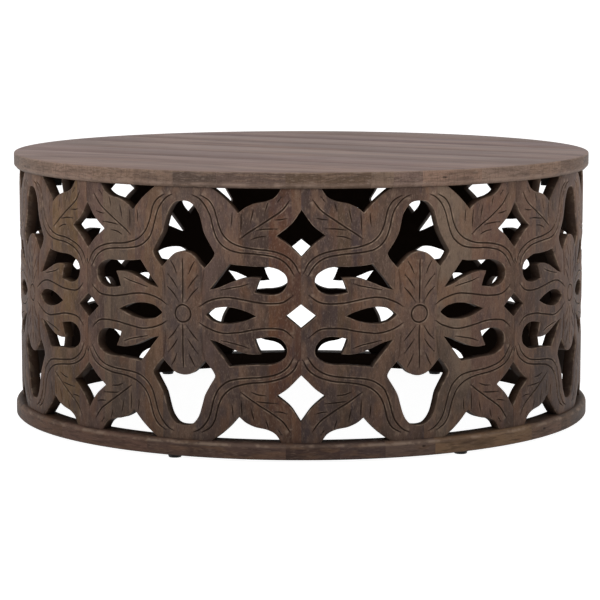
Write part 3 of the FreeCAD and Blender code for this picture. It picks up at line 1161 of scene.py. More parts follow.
def wrap_tree() -> Tree:
    """Build the tree that bends a flat panel round the drum, with the waver of carving by hand.

    Returns:
        The tree, whose inputs are the drum's and the panel's sizes, the waver and the material.
    """
    tree, given = new_geometry_tree("wrap_round_drum", {
        "Float": (
            "Radius", "Middle Height", "Panel Angle", "Half Width", "Half Height", "Waver", "Waver Size",
            "Seed"),
        "Material": ("Material",)})
    place = add_node(tree, "GeometryNodeInputPosition")
    across, depth, up = add_node(tree, "ShaderNodeSeparateXYZ", {0: place}).outputs
    rooms = []
    for measure, limit in ((across, "Half Width"), (up, "Half Height")):
        size = add_node(tree, "ShaderNodeMath", {0: measure}, operation="ABSOLUTE")
        rooms.append(add_node(tree, "ShaderNodeMath", {0: given[limit], 1: size}, operation="SUBTRACT"))
    clear = add_node(tree, "ShaderNodeMath", dict(enumerate(rooms)), operation="MINIMUM")
    fade = add_node(
        tree, "ShaderNodeMapRange", {0: clear, 1: 0.0, 2: given["Waver Size"]},
        interpolation_type="SMOOTHSTEP")
    flat = add_node(tree, "ShaderNodeCombineXYZ", {0: across, 2: up})
    scale = add_node(tree, "ShaderNodeMath", {0: 1.0, 1: given["Waver Size"]}, operation="DIVIDE")
    noise = add_node(
        tree, "ShaderNodeTexNoise", {"Vector": flat, "W": given["Seed"], "Scale": scale, "Detail": 1.0},
        noise_dimensions="4D")
    centred = add_node(
        tree, "ShaderNodeVectorMath", {0: noise.outputs["Color"], 1: (0.5, 0.5, 0.5)}, operation="SUBTRACT")
    strength = add_node(tree, "ShaderNodeMath", {0: given["Waver"], 1: fade}, operation="MULTIPLY")
    shift = add_node(tree, "ShaderNodeVectorMath", {0: centred, "Scale": strength}, operation="SCALE")
    aside, _, lift = add_node(tree, "ShaderNodeSeparateXYZ", {0: shift}).outputs
    known = {**given, "across": across, "depth": depth, "up": up, "aside": aside, "lift": lift}
    for name, operation, *values in (
            ("arc", "ADD", "across", "aside"),
            ("turn", "DIVIDE", "arc", "Radius"),
            ("angle", "ADD", "turn", "Panel Angle"),
            ("radius", "SUBTRACT", "Radius", "depth"),
            ("sine", "SINE", "angle"),
            ("cosine", "COSINE", "angle"),
            ("east", "MULTIPLY", "sine", "radius"),
            ("south", "MULTIPLY", "cosine", "radius"),
            ("north", "MULTIPLY", "south", -1.0),
            ("raised", "ADD", "up", "lift"),
            ("height", "ADD", "raised", "Middle Height")):
        inputs = {number: known.get(value, value) for number, value in enumerate(values)}
        known[name] = add_node(tree, "ShaderNodeMath", inputs, operation=operation)
    target = add_node(
        tree, "ShaderNodeCombineXYZ", {0: known["east"], 1: known["north"], 2: known["height"]})
    bent = add_node(tree, "GeometryNodeSetPosition", {"Geometry": given["Geometry"], "Position": target})
    return end_geometry_tree(tree, given, bent)


@dataclass
class CarvedWall:
    """The drum wall: four carved and pierced quarter panels.

    Attributes:
        row_share: Where the holes' sides reach their deep painted shade, as a share of the way through the
            wall.
        side_painted_shade: How fully painted shade, in the inside tone, covers the holes' sides at their
            outer edge.
        deep_painted_shade: The same where they reach their deep painted shade.
        waver: How far the carver's hand strays.
        waver_size: The size of those strays.
        crease_degrees: The sharpest fold that is shaded smooth.
    """

    row_share: float = 0.6
    side_painted_shade: float = 0.64
    deep_painted_shade: float = 0.78
    waver: float = 3.0 * MM
    waver_size: float = 38 * MM
    crease_degrees: float = 38.0

    def build(self) -> Iterator[Piece]:
        """Carve the four panels.

        Yields:
            Each panel.
        """
        width = Drum.wall_radius * Drum.tile_angle
        tile = QuarterTile(width, Drum.wall_height / 2, Drum.wall_thickness)
        points, faces, attributes = self._flat_panel(tile)
        tree = wrap_tree()
        seed_step = 3.7
        for number, side in enumerate(Drum.panels):
            panel = make_piece(f"carved_{side}", points, faces, attributes)
            apply_tree(panel, tree, {
                "Radius": Drum.wall_radius, "Middle Height": Drum.wall_middle,
                "Panel Angle": number * Drum.panel_angle, "Half Width": 2 * width,
                "Half Height": Drum.wall_height / 2, "Waver": self.waver, "Waver Size": self.waver_size,
                "Seed": seed_step * (number + 1), "Material": carved_wood(number).material()})
            yield hand_over(panel, "carved_wood", f"carved_panel_{side}", self.crease_degrees)

    def _flat_panel(self, tile: QuarterTile) -> tuple[Array, Faces, Attributes]:
        """Mirror the quarter tile over a whole panel, and close its sides.

        Args:
            tile: The quarter tile.

        Returns:
            The panel's corners as across, depth and up, its faces, and its attributes.
        """
        outer = self._mirrored(tile.outer_sheet(), tile)
        inner = self._mirrored(tile.inner_sheet(), tile)
        half = 2 * tile.width
        at_seam = half - np.abs(outer.points[:, 0]) < tile.seam_break / 2
        outer.depth += np.where(at_seam, tile.seam_break, 0)
        outer.groove = np.where(at_seam, 1.0, outer.groove)
        first_inner = len(outer.points)
        match = {key: first_inner + place for place, key in enumerate(self._keys(inner.points))}
        partner = [match.get(key) for key in self._keys(outer.points)]
        border = self._border(outer.triangles)
        ring = sorted({place for edge in border for place in edge})
        first_row = first_inner + len(inner.points)
        row_of = {place: first_row + number for number, place in enumerate(ring)}
        face_depth = outer.depth[ring]
        row_depth = face_depth + (tile.thickness - tile.inner_round - face_depth) * self.row_share
        faces = [tuple(face) for face in (*outer.triangles, *(inner.triangles + first_inner))]
        for start, end in border:
            faces.append((start, row_of[start], row_of[end], end))
            faces.append((row_of[start], partner[start], partner[end], row_of[end]))
        flat = np.vstack([outer.points, inner.points, outer.points[ring]])
        depth = np.concatenate([outer.depth, inner.depth, row_depth])
        # Painted shade: the holes' sides take more of the near-black inside tone the deeper they go into the
        # wall, and the inside faces take all of it.
        side_share, clean_groove = 0.2, 0.05
        on_side = outer.depth > tile.edge_round + tile.edge_fall * (1 - side_share)
        inside = np.concatenate([
            self.side_painted_shade * on_side * (outer.groove < clean_groove),
            np.ones(len(inner.points)), np.full(len(ring), self.deep_painted_shade)])
        tail = np.zeros(len(flat) - first_inner)
        attributes = {
            "wear": np.concatenate([outer.wear, tail]),
            "groove": np.concatenate([outer.groove, tail]),
            "inside": inside,
        }
        return np.column_stack([flat[:, 0], depth, flat[:, 1]]), faces, attributes

    @staticmethod
    def _keys(points: Array) -> list[tuple[int, int]]:
        """Name each point by its place in whole micrometres, so that equal places match."""
        return [tuple(key) for key in np.round(points / MICRON).astype(int)]

    @staticmethod
    def _border(triangles: Array) -> list[tuple[int, int]]:
        """List the edges that only one triangle has, in that triangle's direction."""
        edges = {(a, b) for face in triangles.tolist() for a, b in zip(face, face[1:] + face[:1])}
        return sorted(edge for edge in edges if edge[::-1] not in edges)

    def _mirrored(self, sheet: Sheet, tile: QuarterTile) -> Sheet:
        """Copy a tile's sheet over a whole panel, mirrored about its axes, and weld the copies.

        Args:
            sheet: The sheet.
            tile: The tile that it covers.

        Returns:
            The panel's sheet.
        """
        copies = []
        triangles = []
        for start, across in ((-2, 1), (0, -1), (0, 1), (2, -1)):
            for up in (1, -1):
                faces = sheet.triangles if across * up > 0 else sheet.triangles[:, ::-1]
                triangles.append(faces + len(copies) * len(sheet.points))
                copies.append(sheet.points * (across, up) + (start * tile.width, 0.0))
        everything = np.vstack(copies)
        keys = np.round(everything / MICRON).astype(int)
        _, first, number = np.unique(keys, axis=0, return_index=True, return_inverse=True)
        source = first % len(sheet.points)
        faces = number.reshape(-1)[np.vstack(triangles)]
        return Sheet(everything[first], faces, sheet.depth[source], sheet.wear[source], sheet.groove[source])


def carved_wood(number: int) -> WashedWood:
    """Describe the wood of one panel: a blank of upright staves, each with its own tone.

    Args:
        number: The panel's number, from the front one towards the right.

    Returns:
        The finish.
    """
    return WashedWood(
        name=f"washed_mango_carved_{Drum.panels[number]}",
        tones=STAVE_TONES[number],
        grain=Grain.UP_THE_WALL,
        turn_degrees=math.degrees(number * Drum.panel_angle),
        span=Drum.panel_angle,
        figures=(
            Figure((52, 60, 120), (0.46, 0.6), "#3d302b", 0.55),
            Figure((26, 40, 70), (0.5, 0.64), "#7d604d", 0.45),
            Figure((34, 30, 90), (0.53, 0.64), "#6d4d38", 0.42),
            Figure((12, 30, 36), (0.52, 0.66), "#40363a", 0.38),
            Figure((7, 20, 15), (0.52, 0.68), "#7e6757", 0.32),
            Figure((2.6, 12, 9), (0.48, 0.7), "#33271f", 0.3),
            Figure((1.7, 8, 4.5), (0.53, 0.7), "#8f7b6c", 0.28),
            Figure((1.2, 8, 2.2), (0.53, 0.68), "#241a14", 0.3, detail=4.0),
        ),
        relief=0.15,
        gloss=0.14,
        worn="#9a8472",
        rub_least=0.2,
        # Painted shade at the foot of the wall and painted light at its head.
        foot=0.76,
        head=1.45,
    )


STAVE_TONES = (
    (
        (0.0, "#614c44"), (0.05, "#695749"), (0.07, "#615145"), (0.115, "#635145"), (0.133, "#625048"),
        (0.16, "#675040"), (0.203, "#584942"), (0.29, "#5c4a43"), (0.368, "#463731"), (0.43, "#563a2d"),
        (0.477, "#50382e"), (0.499, "#4a3c38"), (0.571, "#514034"), (0.6, "#473935"), (0.622, "#5b493f"),
        (0.693, "#634e43"), (0.76, "#6a5549"), (0.789, "#715f51"), (0.874, "#664e43"), (0.967, "#5f4a3e"),
    ),
    (
        (0.0, "#664f43"), (0.07, "#52433c"), (0.16, "#634e44"), (0.27, "#52423c"), (0.36, "#62493c"),
        (0.47, "#5e4c41"), (0.58, "#694d3d"), (0.66, "#564540"), (0.78, "#644f41"), (0.9, "#5b4741"),
    ),
    (
        (0.0, "#5b4741"), (0.09, "#654d3f"), (0.19, "#544540"), (0.31, "#675042"), (0.42, "#60473a"),
        (0.5, "#5a4942"), (0.61, "#684e3f"), (0.73, "#56443e"), (0.83, "#634d40"), (0.93, "#5f4a41"),
    ),
    (
        (0.0, "#5f4a41"), (0.08, "#6a4e3f"), (0.18, "#564640"), (0.29, "#634e42"), (0.4, "#5d463a"),
        (0.49, "#675143"), (0.6, "#504039"), (0.71, "#5d4538"), (0.82, "#58463d"), (0.87, "#6b533a"),
        (0.965, "#685045"),
    ),
)


# Plank top, base ring and glides


@dataclass(frozen=True)
class Level:
    """One level of a moulded edge, from the underside up.

    Attributes:
        inset: How far inside the greatest outline it lies.
        height: Its height above the underside.
        wear: How worn it is; on the lower band of the rim, how much painted highlight it has.
        inside: How fully the near-black underside tone, a dark stain deepened as painted shade, covers it.
    """

    inset: float
    height: float
    wear: float = 0.0
    inside: float = 0.0


def quarter_round(inset: float, height: float, radius: float, wear: float, steps: int = 6) -> list[Level]:
    """Round an upper edge, from its side over to its top.

    Args:
        inset: How far the side lies inside the greatest outline.
        height: The height of the top.
        radius: The radius of the edge.
        wear: How worn the middle of the round is.
        steps: How many levels it has.

    Returns:
        The levels of the round.
    """
    levels = []
    for turn in np.linspace(0, math.pi / 2, steps):
        drop = radius * (1 - math.sin(turn))
        levels.append(Level(inset + radius * (1 - math.cos(turn)), height - drop, wear * math.sin(2 * turn)))
    return levels


@dataclass
class PlankTop:
    """The top: boards glued edge to edge and turned as one disc.

    Attributes:
        plank_degrees: How far the boards are turned from the sideways direction.
        edge_round: The radius of the upper edge.
        bevel_width: The width of the bevel under the edge.
        bevel_height: Its height.
        joint_break: The small bevel along each glue joint.
        arc_step: The length of each straight facet of the rim.
        sideways_step: The distance between corners along a joint.
        crease_degrees: The sharpest fold that is shaded smooth.
    """

    plank_degrees: float = -30.0
    edge_round: float = 2.4 * MM
    bevel_width: float = 4.2 * MM
    bevel_height: float = 5.0 * MM
    joint_break: float = 0.22 * MM
    arc_step: float = 4.0 * MM
    sideways_step: float = 30.0 * MM
    crease_degrees: float = 32.0

    def __post_init__(self) -> None:
        """Read the top's sizes from the frame."""
        self.names = nodes_of("top_plank")
        _, self.radius, self.bottom, self.top = reach_of(self.names)
        turn = math.radians(self.plank_degrees)
        self.along = np.array([math.cos(turn), math.sin(turn)])
        self.over = np.array([-math.sin(turn), math.cos(turn)])

    def edges_of(self, name: str) -> tuple[float, float]:
        """Read where a board's two joints lie across the top."""
        across = node_points(name)[:, :2] @ self.over
        return float(across.min()), float(across.max())

    def levels(self) -> list[Level]:
        """List the levels of the rim.

        Returns:
            The levels, from the underside up.
        """
        return [
            # The underside and the foot of the bevel take the near-black tone, partly as painted shade.
            Level(self.bevel_width, 0.0, inside=1.0),
            Level(self.bevel_width * 0.92, 0.6 * MM, 0.1, 0.3),
            # The lower band of the rim takes the worn tone as a painted highlight of light from the floor.
            Level(0.5 * MM, self.bevel_height - 0.8 * MM, 0.55),
            Level(0.0, self.bevel_height + 0.8 * MM, 0.7),
            Level(0.0, self.bevel_height + 2.4 * MM, 0.35),
            Level(0.0, self.bevel_height + 4.5 * MM, 0.0),
            *quarter_round(0.0, self.top - self.bottom, self.edge_round, 0.5),
        ]

    def build(self) -> Iterator[Piece]:
        """Make the boards.

        Yields:
            Each board.
        """
        finish = top_wood(self).material()
        rim = RIM_WOOD.material()
        for name in self.names:
            piece = self._plank(name)
            dress(piece, finish)
            self._dress_rim(piece, rim)
            yield hand_over(piece, "top_wood", name, self.crease_degrees)

    def _plank(self, name: str) -> Piece:
        """Make one board between its two joints.

        Args:
            name: The name of its CAD node.

        Returns:
            The board.
        """
        low, high = self.edges_of(name)
        turn = math.asin(min(1, high / self.radius)) - math.asin(max(-1, low / self.radius))
        steps = round(turn * self.radius / self.arc_step)
        rings = []
        wear = []
        inside = []
        levels = self.levels()
        for number, level in enumerate(levels):
            slack = self.joint_break if number in (0, len(levels) - 1) else 0.0
            ring = self._outline(low + slack, high - slack, self.radius - level.inset, steps)
            flat = ring[:, :1] * self.along + ring[:, 1:] * self.over
            rings.append(np.column_stack([flat, np.full(len(flat), self.bottom + level.height)]))
            wear.extend([level.wear] * len(ring))
            inside.extend([level.inside] * len(ring))
        piece = stack_piece(f"board_{name[-1]}", rings, {"wear": wear, "inside": inside})
        weld(piece, distance=0.02 * MM)
        return piece

    def _dress_rim(self, piece: Piece, rim: Material) -> None:
        """Give the faces of the turned edge the wood of the rim.

        Args:
            piece: The board.
            rim: The rim's material.
        """
        piece.data.materials.append(rim)
        reach = self.radius - 2 * self.edge_round
        rim_slope = 0.75
        for face in piece.data.polygons:
            if abs(face.normal.z) < rim_slope and np.hypot(*face.center[:2]) > reach:
                face.material_index = 1

    def _outline(self, low: float, high: float, radius: float, steps: int) -> Array:
        """Draw one board's outline at one level, counterclockwise from the low joint's right end.

        Args:
            low: Where the lower joint lies across the boards.
            high: Where the upper joint lies.
            radius: The top's radius at this level.
            steps: How many facets each end has.

        Returns:
            The corners, as along and across the boards.
        """
        low, high = max(low, -radius), min(high, radius)
        turns = np.linspace(math.asin(low / radius), math.asin(high / radius), steps + 1)
        right = np.column_stack([np.cos(turns), np.sin(turns)]) * radius
        left = right[::-1] * (-1, 1)
        count = round(2 * self.radius / self.sideways_step)
        shares = np.linspace(0, 1, count)[1:-1, None]
        upper = right[-1] + (left[0] - right[-1]) * shares
        lower = left[-1] + (right[0] - left[-1]) * shares
        return np.vstack([right, upper, left, lower])


@dataclass
class BaseRing:
    """The base ring: eight butted segments, run with one moulded profile.

    Attributes:
        edge_round: The radius of the outer upper edge.
        foot_chamfer: The chamfer of the outer lower edge.
        inner_break: The small bevel of the inner edges.
        joint_break: The small bevel at each butt joint.
        steps: How many facets one segment has.
        crease_degrees: The sharpest fold that is shaded smooth.
    """

    edge_round: float = 7.5 * MM
    foot_chamfer: float = 2.0 * MM
    inner_break: float = 0.8 * MM
    joint_break: float = 0.3 * MM
    steps: int = 60
    crease_degrees: float = 32.0

    def __post_init__(self) -> None:
        """Read the ring's sizes from the frame."""
        self.names = nodes_of("base_segment")
        self.inner, _, self.bottom, self.top = reach_of(self.names)
        self.outer = cad_box[1].x

    def section(self) -> Array:
        """List the profile's corners, outside first.

        Returns:
            One row of radius, height, wear and inside for each corner.
        """
        # The last column is painted shade: under the foot, on the ledge under the wall and on the inner
        # faces, over their dark stain.
        corners = [
            (self.outer - self.foot_chamfer, self.bottom, 0.0, 0.6),
            (self.outer, self.bottom + self.foot_chamfer, 0.0, 0.06),
            (self.outer, self.bottom + 0.45 * (self.top - self.bottom), 0.0, 0.0),
        ]
        # The round's worn tone is partly wear and partly a painted highlight set low on the round, and
        # towards the ledge it darkens as painted shade.
        worn, wear_and_highlight_bias, focus, ledge_painted_shade = 0.55, 0.65, 4, 0.5
        for share in np.linspace(0, 1, num=10):
            turn = share * math.pi / 2
            corners.append((
                self.outer - self.edge_round * (1 - math.cos(turn)),
                self.top - self.edge_round * (1 - math.sin(turn)),
                worn * math.sin(math.pi * share**wear_and_highlight_bias) ** focus, ledge_painted_shade * share**focus))
        corners += [
            (Drum.wall_radius - 1.5 * MM, self.top, 0.0, 0.6),
            (Drum.wall_inner_radius, self.top, 0.0, 0.8),
            (self.inner + self.inner_break, self.top, 0.0, 0.8),
            (self.inner, self.top - self.inner_break, 0.0, 0.9),
            (self.inner, self.bottom + self.inner_break, 0.0, 1.0),
            (self.inner + self.inner_break, self.bottom, 0.0, 1.0),
        ]
        return np.array(corners)

    def build(self) -> Iterator[Piece]:
        """Make the segments.

        Yields:
            Each segment.
        """
        finish = RING_WOOD.material()
        section = self.section()
        profile = section[:, :2]
        shrink = 2 * self.joint_break / (self.top - self.bottom)
        end_profile = profile + (profile.mean(0) - profile) * shrink
        close = self.joint_break / self.outer
        for name in self.names:
            angles = np.arctan2(node_points(name)[:, 0], -node_points(name)[:, 1])
            if np.ptp(angles) > math.pi:
                angles %= math.tau
            first, last = angles.min(), angles.max()
            turns = [first, *np.linspace(first + close, last - close, self.steps), last]
            rings = []
            for turn in turns:
                radius, height = (end_profile if turn in (first, last) else profile).T
                rings.append(np.column_stack([radius * math.sin(turn), -radius * math.cos(turn), height]))
            wear, inside = (np.tile(section[:, place], len(turns)) for place in (2, 3))
            piece = stack_piece(f"base_{name[-1]}", rings, {"wear": wear, "inside": inside})
            dress(piece, finish)
            yield hand_over(piece, "base_wood", name, self.crease_degrees)


@dataclass
class Glides:
    """The glides: tapered black pads with a moulded rib and a sunk middle.

    Attributes:
        steps: How many facets go round one pad.
        sink: How far the middle is sunk.
        crease_degrees: The sharpest fold that is shaded smooth.
    """

    steps: int = 40
    sink: float = 0.35 * MM
    crease_degrees: float = 40.0

    def build(self) -> Iterator[Piece]:
        """Make the pads.

        Yields:
            Each pad.
        """
        finish = MouldedPlastic().material()
        turns = np.linspace(0, math.tau, self.steps, endpoint=False)
        for name in nodes_of("foot_pad"):
            low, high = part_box(name)
            radius = (high.x - low.x) / 2
            height = high.z - low.z
            profile = (
                (0.0, self.sink), (radius * 0.5, self.sink), (radius * 0.55, 0.0), (radius * 0.8, 0.0),
                (radius * 0.85, self.sink), (radius * 0.91, height * 0.45), (radius * 0.93, height * 0.5),
                (radius * 0.97, height * 0.55), (radius, height * 0.92), (radius * 0.985, height),
            )
            centre = (low + high) / 2
            foot = (centre.x, centre.y, low.z)
            piece = stack_piece(f"glide_{name[-1]}", [ring + foot for ring in turned_rings(turns, profile)])
            weld(piece, distance=0.01 * MM)
            dress(piece, finish)
            yield hand_over(piece, "glide_plastic", name, self.crease_degrees)


def top_wood(top: PlankTop) -> WashedWood:
    """Describe the wood of the top: planks whose tones and streaks run along them.

    Args:
        top: The top.

    Returns:
        The finish.
    """
    tones = []
    shades = ("#7c655d", "#89756f", "#7b6661", "#806e68", "#74615c", "#84716b", "#705d5b", "#7f6d66")
    line = 0.5 * MM / (2 * top.radius)
    for name, shade in zip(top.names, shades):
        share = (top.edges_of(name)[0] + top.radius) / (2 * top.radius)
        if tones:
            tones.append((share - line, "#5a4a44"))
        tones.append((max(0.0, share + line), shade))
    return WashedWood(
        name="washed_mango_planks",
        grain=Grain.ALONG_THE_PLANKS,
        tones=tuple(tones),
        turn_degrees=top.plank_degrees,
        span=2 * top.radius,
        figures=(
            Figure((70, 60, 300), (0.44, 0.62), "#5e4c46", 0.4),
            Figure((40, 50, 220), (0.48, 0.64), "#967c6f", 0.42),
            Figure((18, 40, 200), (0.5, 0.64), "#5c4943", 0.3),
            Figure((7, 30, 150), (0.52, 0.66), "#988278", 0.22),
            Figure((2.6, 12, 70), (0.5, 0.68), "#503f39", 0.3),
            Figure((0.9, 8, 20), (0.53, 0.7), "#3a2c26", 0.34, detail=4.0),
        ),
        worn="#9a8170",
        roughness=(0.5, 0.66),
        gloss=0.12,
        relief=0.06,
        wander=14.0,
        wander_size=160.0,
    )


def turn_tones(*tones: tuple[float, str]) -> tuple[tuple[float, str], ...]:
    """Turn tones that start at angles in degrees into tones that start at shares of a full turn."""
    return tuple(((degrees + 180) / 360, tone) for degrees, tone in tones)


# The turned edge of the top, where the grain shows as level streaks.
RIM_WOOD = WashedWood(
    name="washed_mango_rim",
    tones=turn_tones(
        (-180, "#7e6759"), (-158, "#705a4f"), (-139, "#876f60"), (-117, "#776252"), (-96, "#5c4b43"),
        (-80, "#6f5c51"), (-74, "#7f6a5c"), (-66, "#8a7263"), (-56, "#997e6e"), (-43, "#947a69"),
        (-33, "#876f60"), (-24.5, "#5e4e45"), (-16.5, "#655249"), (-3, "#655142"), (11.4, "#836d5d"),
        (16, "#80695f"), (22, "#9a7c6b"), (34, "#987f70"), (47, "#917664"), (59, "#745c4d"),
        (72, "#63544c"), (93, "#6e5a50"),
        (118, "#896f60"), (141, "#745f53"), (163, "#816a5c")),
    figures=(
        Figure((12, 40, 70), (0.46, 0.66), "#57463d", 0.45),
        Figure((4, 30, 28), (0.5, 0.66), "#8f7564", 0.5),
        Figure((2.6, 20, 18), (0.48, 0.64), "#4b3b33", 0.45),
        Figure((16, 20, 2.6), (0.5, 0.66), "#4a3a32", 0.32),
        Figure((1.6, 12, 9), (0.53, 0.68), "#a89486", 0.34),
        Figure((1.3, 8, 2.4), (0.52, 0.68), "#2c201a", 0.36, detail=4.0),
    ),
    gloss=0.2,
    # The worn tone also paints the highlight on the rim's lower band, and rub_least keeps it running along
    # the band.
    worn="#a38b7c",
    knots=(Knot(-68, 0.409), Knot(27, 0.412, 9 * MM, 2.5 * MM)),
    wander=4.0,
    rub_size=30.0,
    rub_least=0.35,
)


# The base ring: segments with the grain along them.
RING_WOOD = WashedWood(
    name="washed_mango_ring",
    tones=turn_tones(
        (-180, "#4c3a32"), (-165.6, "#463530"), (-120.6, "#47372f"), (-75.6, "#5d4437"), (-53, "#5f483e"),
        (-30.6, "#503e37"), (-3, "#42322d"), (6, "#473834"), (14.4, "#594840"), (25, "#745c47"),
        (49, "#695347"), (59.4, "#4a3c34"), (104.4, "#47362f"), (149.4, "#4f3c34")),
    figures=(
        Figure((20, 40, 70), (0.46, 0.62), "#32251f", 0.5),
        Figure((9, 30, 40), (0.5, 0.64), "#6b503d", 0.44),
        Figure((3, 20, 24), (0.5, 0.66), "#2a1f1b", 0.45),
        Figure((5, 20, 12), (0.52, 0.66), "#665244", 0.28),
        Figure((1.6, 12, 9), (0.53, 0.7), "#7c6758", 0.32),
        Figure((0.8, 8, 8), (0.53, 0.68), "#1d1410", 0.34, detail=4.0),
    ),
    gloss=0.12,
    # The worn tone is partly wear and partly the painted highlight along the ring's upper edge.
    worn="#9a8574",
    knots=(Knot(23, 0.021), Knot(53.5, 0.019, 9 * MM, 4 * MM), Knot(-98, 0.017), Knot(171, 0.02)),
    wander=4.0,
    rub_size=18.0,
    rub_least=0.25,
)


@dataclass(frozen=True)
class MouldedPlastic:
    """Black polyethylene glides, moulded with a fine sparked texture that takes the shine off."""

    name: str = "moulded_black_polyethylene"
    colour: str = "#060606"
    grit: float = 0.35
    grit_depth: float = 0.03
    roughness: tuple[float, float] = (0.45, 0.6)

    def material(self) -> Material:
        """Build the material.

        Returns:
            The material.
        """
        material = bpy.data.materials.new(self.name)
        tree = emptied_tree(material)
        place = add_node(tree, "ShaderNodeTexCoord").outputs["Object"]
        noise = add_node(
            tree, "ShaderNodeTexNoise", {"Vector": place, "Scale": 1 / (self.grit * MM), "Detail": 2.0})
        rough = add_node(tree, "ShaderNodeMapRange", {0: noise, 3: self.roughness[0], 4: self.roughness[1]})
        bump = add_node(
            tree, "ShaderNodeBump", {"Strength": 0.6, "Distance": self.grit_depth * MM, "Height": noise})
        surface = add_node(
            tree, "ShaderNodeBsdfPrincipled",
            {"Base Color": linear(self.colour), "Roughness": rough, "Normal": bump, "IOR": 1.51,
             "Specular IOR Level": 0.15})
        add_node(tree, "ShaderNodeOutputMaterial", {0: surface})
        return material


# Corner blocks, screws, dowels and nails


def placing_tree() -> Tree:
    """Build the tree that sets copies of one fastener round the table.

    Returns:
        The tree, whose inputs are the copies' number and places, the seed and the material.
    """
    tree, given = new_geometry_tree("set_round_table", {
        "Int": ("Count", "Per Place", "Seed"),
        "Float": ("Radius", "Sideways", "Height", "Rise", "First Angle", "Step Angle", "Spread"),
        "Vector": ("Tilt",),
        "Material": ("Material",)})
    known = {**given, "index": add_node(tree, "GeometryNodeInputIndex")}
    for name, operation, *values in (
            ("share", "DIVIDE", "index", "Per Place"),
            ("place", "FLOOR", "share"),
            ("fellow", "MODULO", "index", "Per Place"),
            ("last", "SUBTRACT", "Per Place", 1.0),
            ("half", "MULTIPLY", "last", 0.5),
            ("side", "SUBTRACT", "fellow", "half"),
            ("lift", "MULTIPLY_ADD", "side", "Rise", "Height"),
            ("back", "MULTIPLY", "Radius", -1.0),
            ("turned", "MULTIPLY_ADD", "place", "Step Angle", "First Angle"),
            ("angle", "MULTIPLY_ADD", "side", "Spread", "turned")):
        inputs = {number: known.get(value, value) for number, value in enumerate(values)}
        known[name] = add_node(tree, "ShaderNodeMath", inputs, operation=operation)
    start = add_node(
        tree, "ShaderNodeCombineXYZ", {0: given["Sideways"], 1: known["back"], 2: known["lift"]})
    spots = add_node(tree, "GeometryNodePoints", {"Count": given["Count"], "Position": start})
    copies = add_node(
        tree, "GeometryNodeInstanceOnPoints",
        {"Points": spots, "Instance": given["Geometry"], "Rotation": given["Tilt"]})
    chance = add_node(
        tree, "FunctionNodeRandomValue", {"Max": math.tau, "Seed": given["Seed"]}, data_type="FLOAT")
    spin = add_node(tree, "ShaderNodeCombineXYZ", {2: chance.outputs["Value"]})
    spun = add_node(
        tree, "GeometryNodeRotateInstances", {"Instances": copies, "Rotation": spin, "Local Space": True})
    turn = add_node(tree, "ShaderNodeCombineXYZ", {2: known["angle"]})
    ring = add_node(
        tree, "GeometryNodeRotateInstances", {"Instances": spun, "Rotation": turn, "Local Space": False})
    return end_geometry_tree(tree, given, ring)


@dataclass(frozen=True)
class Screw:
    """A countersunk wood screw with a cross recess, along +Z from the face of its head.

    Attributes:
        length: Its whole length.
        radius: The radius over its thread.
        head_radius: The radius of its head.
        head_height: The height of the head's cone.
        pitch: The rise of one turn of the thread.
        core: The radius of its core, as a share of the radius over the thread.
        shank: How much of its length behind the head is smooth, as a share.
        slot_reach: Half the length of the recess.
        slot_half: Half the width of its arms.
        slot_depth: Its depth.
        sides: How many facets go round it.
    """

    length: float
    radius: float = 2.0 * MM
    head_radius: float = 3.95 * MM
    head_height: float = 2.2 * MM
    pitch: float = 2.0 * MM
    core: float = 0.72
    shank: float = 0.35
    slot_reach: float = 2.3 * MM
    slot_half: float = 0.7 * MM
    slot_depth: float = 1.7 * MM
    sides: int = 24

    def rings(self) -> list[Array]:
        """List its rings of corners, from the bottom of the recess round the head to the point.

        Returns:
            The rings.
        """
        turns = np.linspace(0, math.tau, self.sides, endpoint=False)
        from_arm = (turns + math.pi / 4) % (math.pi / 2) - math.pi / 4
        least_sine = 0.001
        arm = np.minimum(self.slot_reach, self.slot_half / np.maximum(np.abs(np.sin(from_arm)), least_sine))
        rows = [
            (arm * 0.35, self.slot_depth), (arm * 0.9, 0.35 * MM), (arm, 0.0),
            (self.head_radius - 0.15 * MM, 0.0), (self.head_radius, 0.12 * MM), (self.head_radius, 0.25 * MM),
            (self.radius * self.core, self.head_height + 0.4 * MM),
        ]
        smooth_end = self.head_height + (self.length - self.head_height) * self.shank
        for height in np.arange(smooth_end, self.length - 1.5 * self.pitch, self.pitch / 4):
            phase = (height / self.pitch - turns / math.tau) % 1
            ridge = np.clip(1 - np.abs(phase - 0.5) * 4, 0, 1) * min(1, (height - smooth_end) / self.pitch)
            rows.append((self.radius * (self.core + (1 - self.core) * ridge), height))
        rows += [(self.radius * self.core * 0.7, self.length - self.pitch), (0.15 * MM, self.length)]
        return turned_rings(turns, rows)


@dataclass(frozen=True)
class FlutedDowel:
    """A beech dowel with chamfered ends and straight flutes for glue, along +Z about its middle."""

    length: float
    radius: float
    flutes: int = 12
    flute_depth: float = 0.3 * MM
    chamfer: float = 0.9 * MM

    def rings(self) -> list[Array]:
        """List its rings of corners, from its lower end to its upper end.

        Returns:
            The rings.
        """
        sides_per_flute = 3
        sides = self.flutes * sides_per_flute
        fluted = self.radius - self.flute_depth * (np.arange(sides) % sides_per_flute == 0)
        half = self.length / 2
        rows = [
            (fluted - self.chamfer, -half), (fluted, self.chamfer - half), (fluted, half - self.chamfer),
            (fluted - self.chamfer, half)]
        return turned_rings(np.linspace(0, math.tau, sides, endpoint=False), rows)


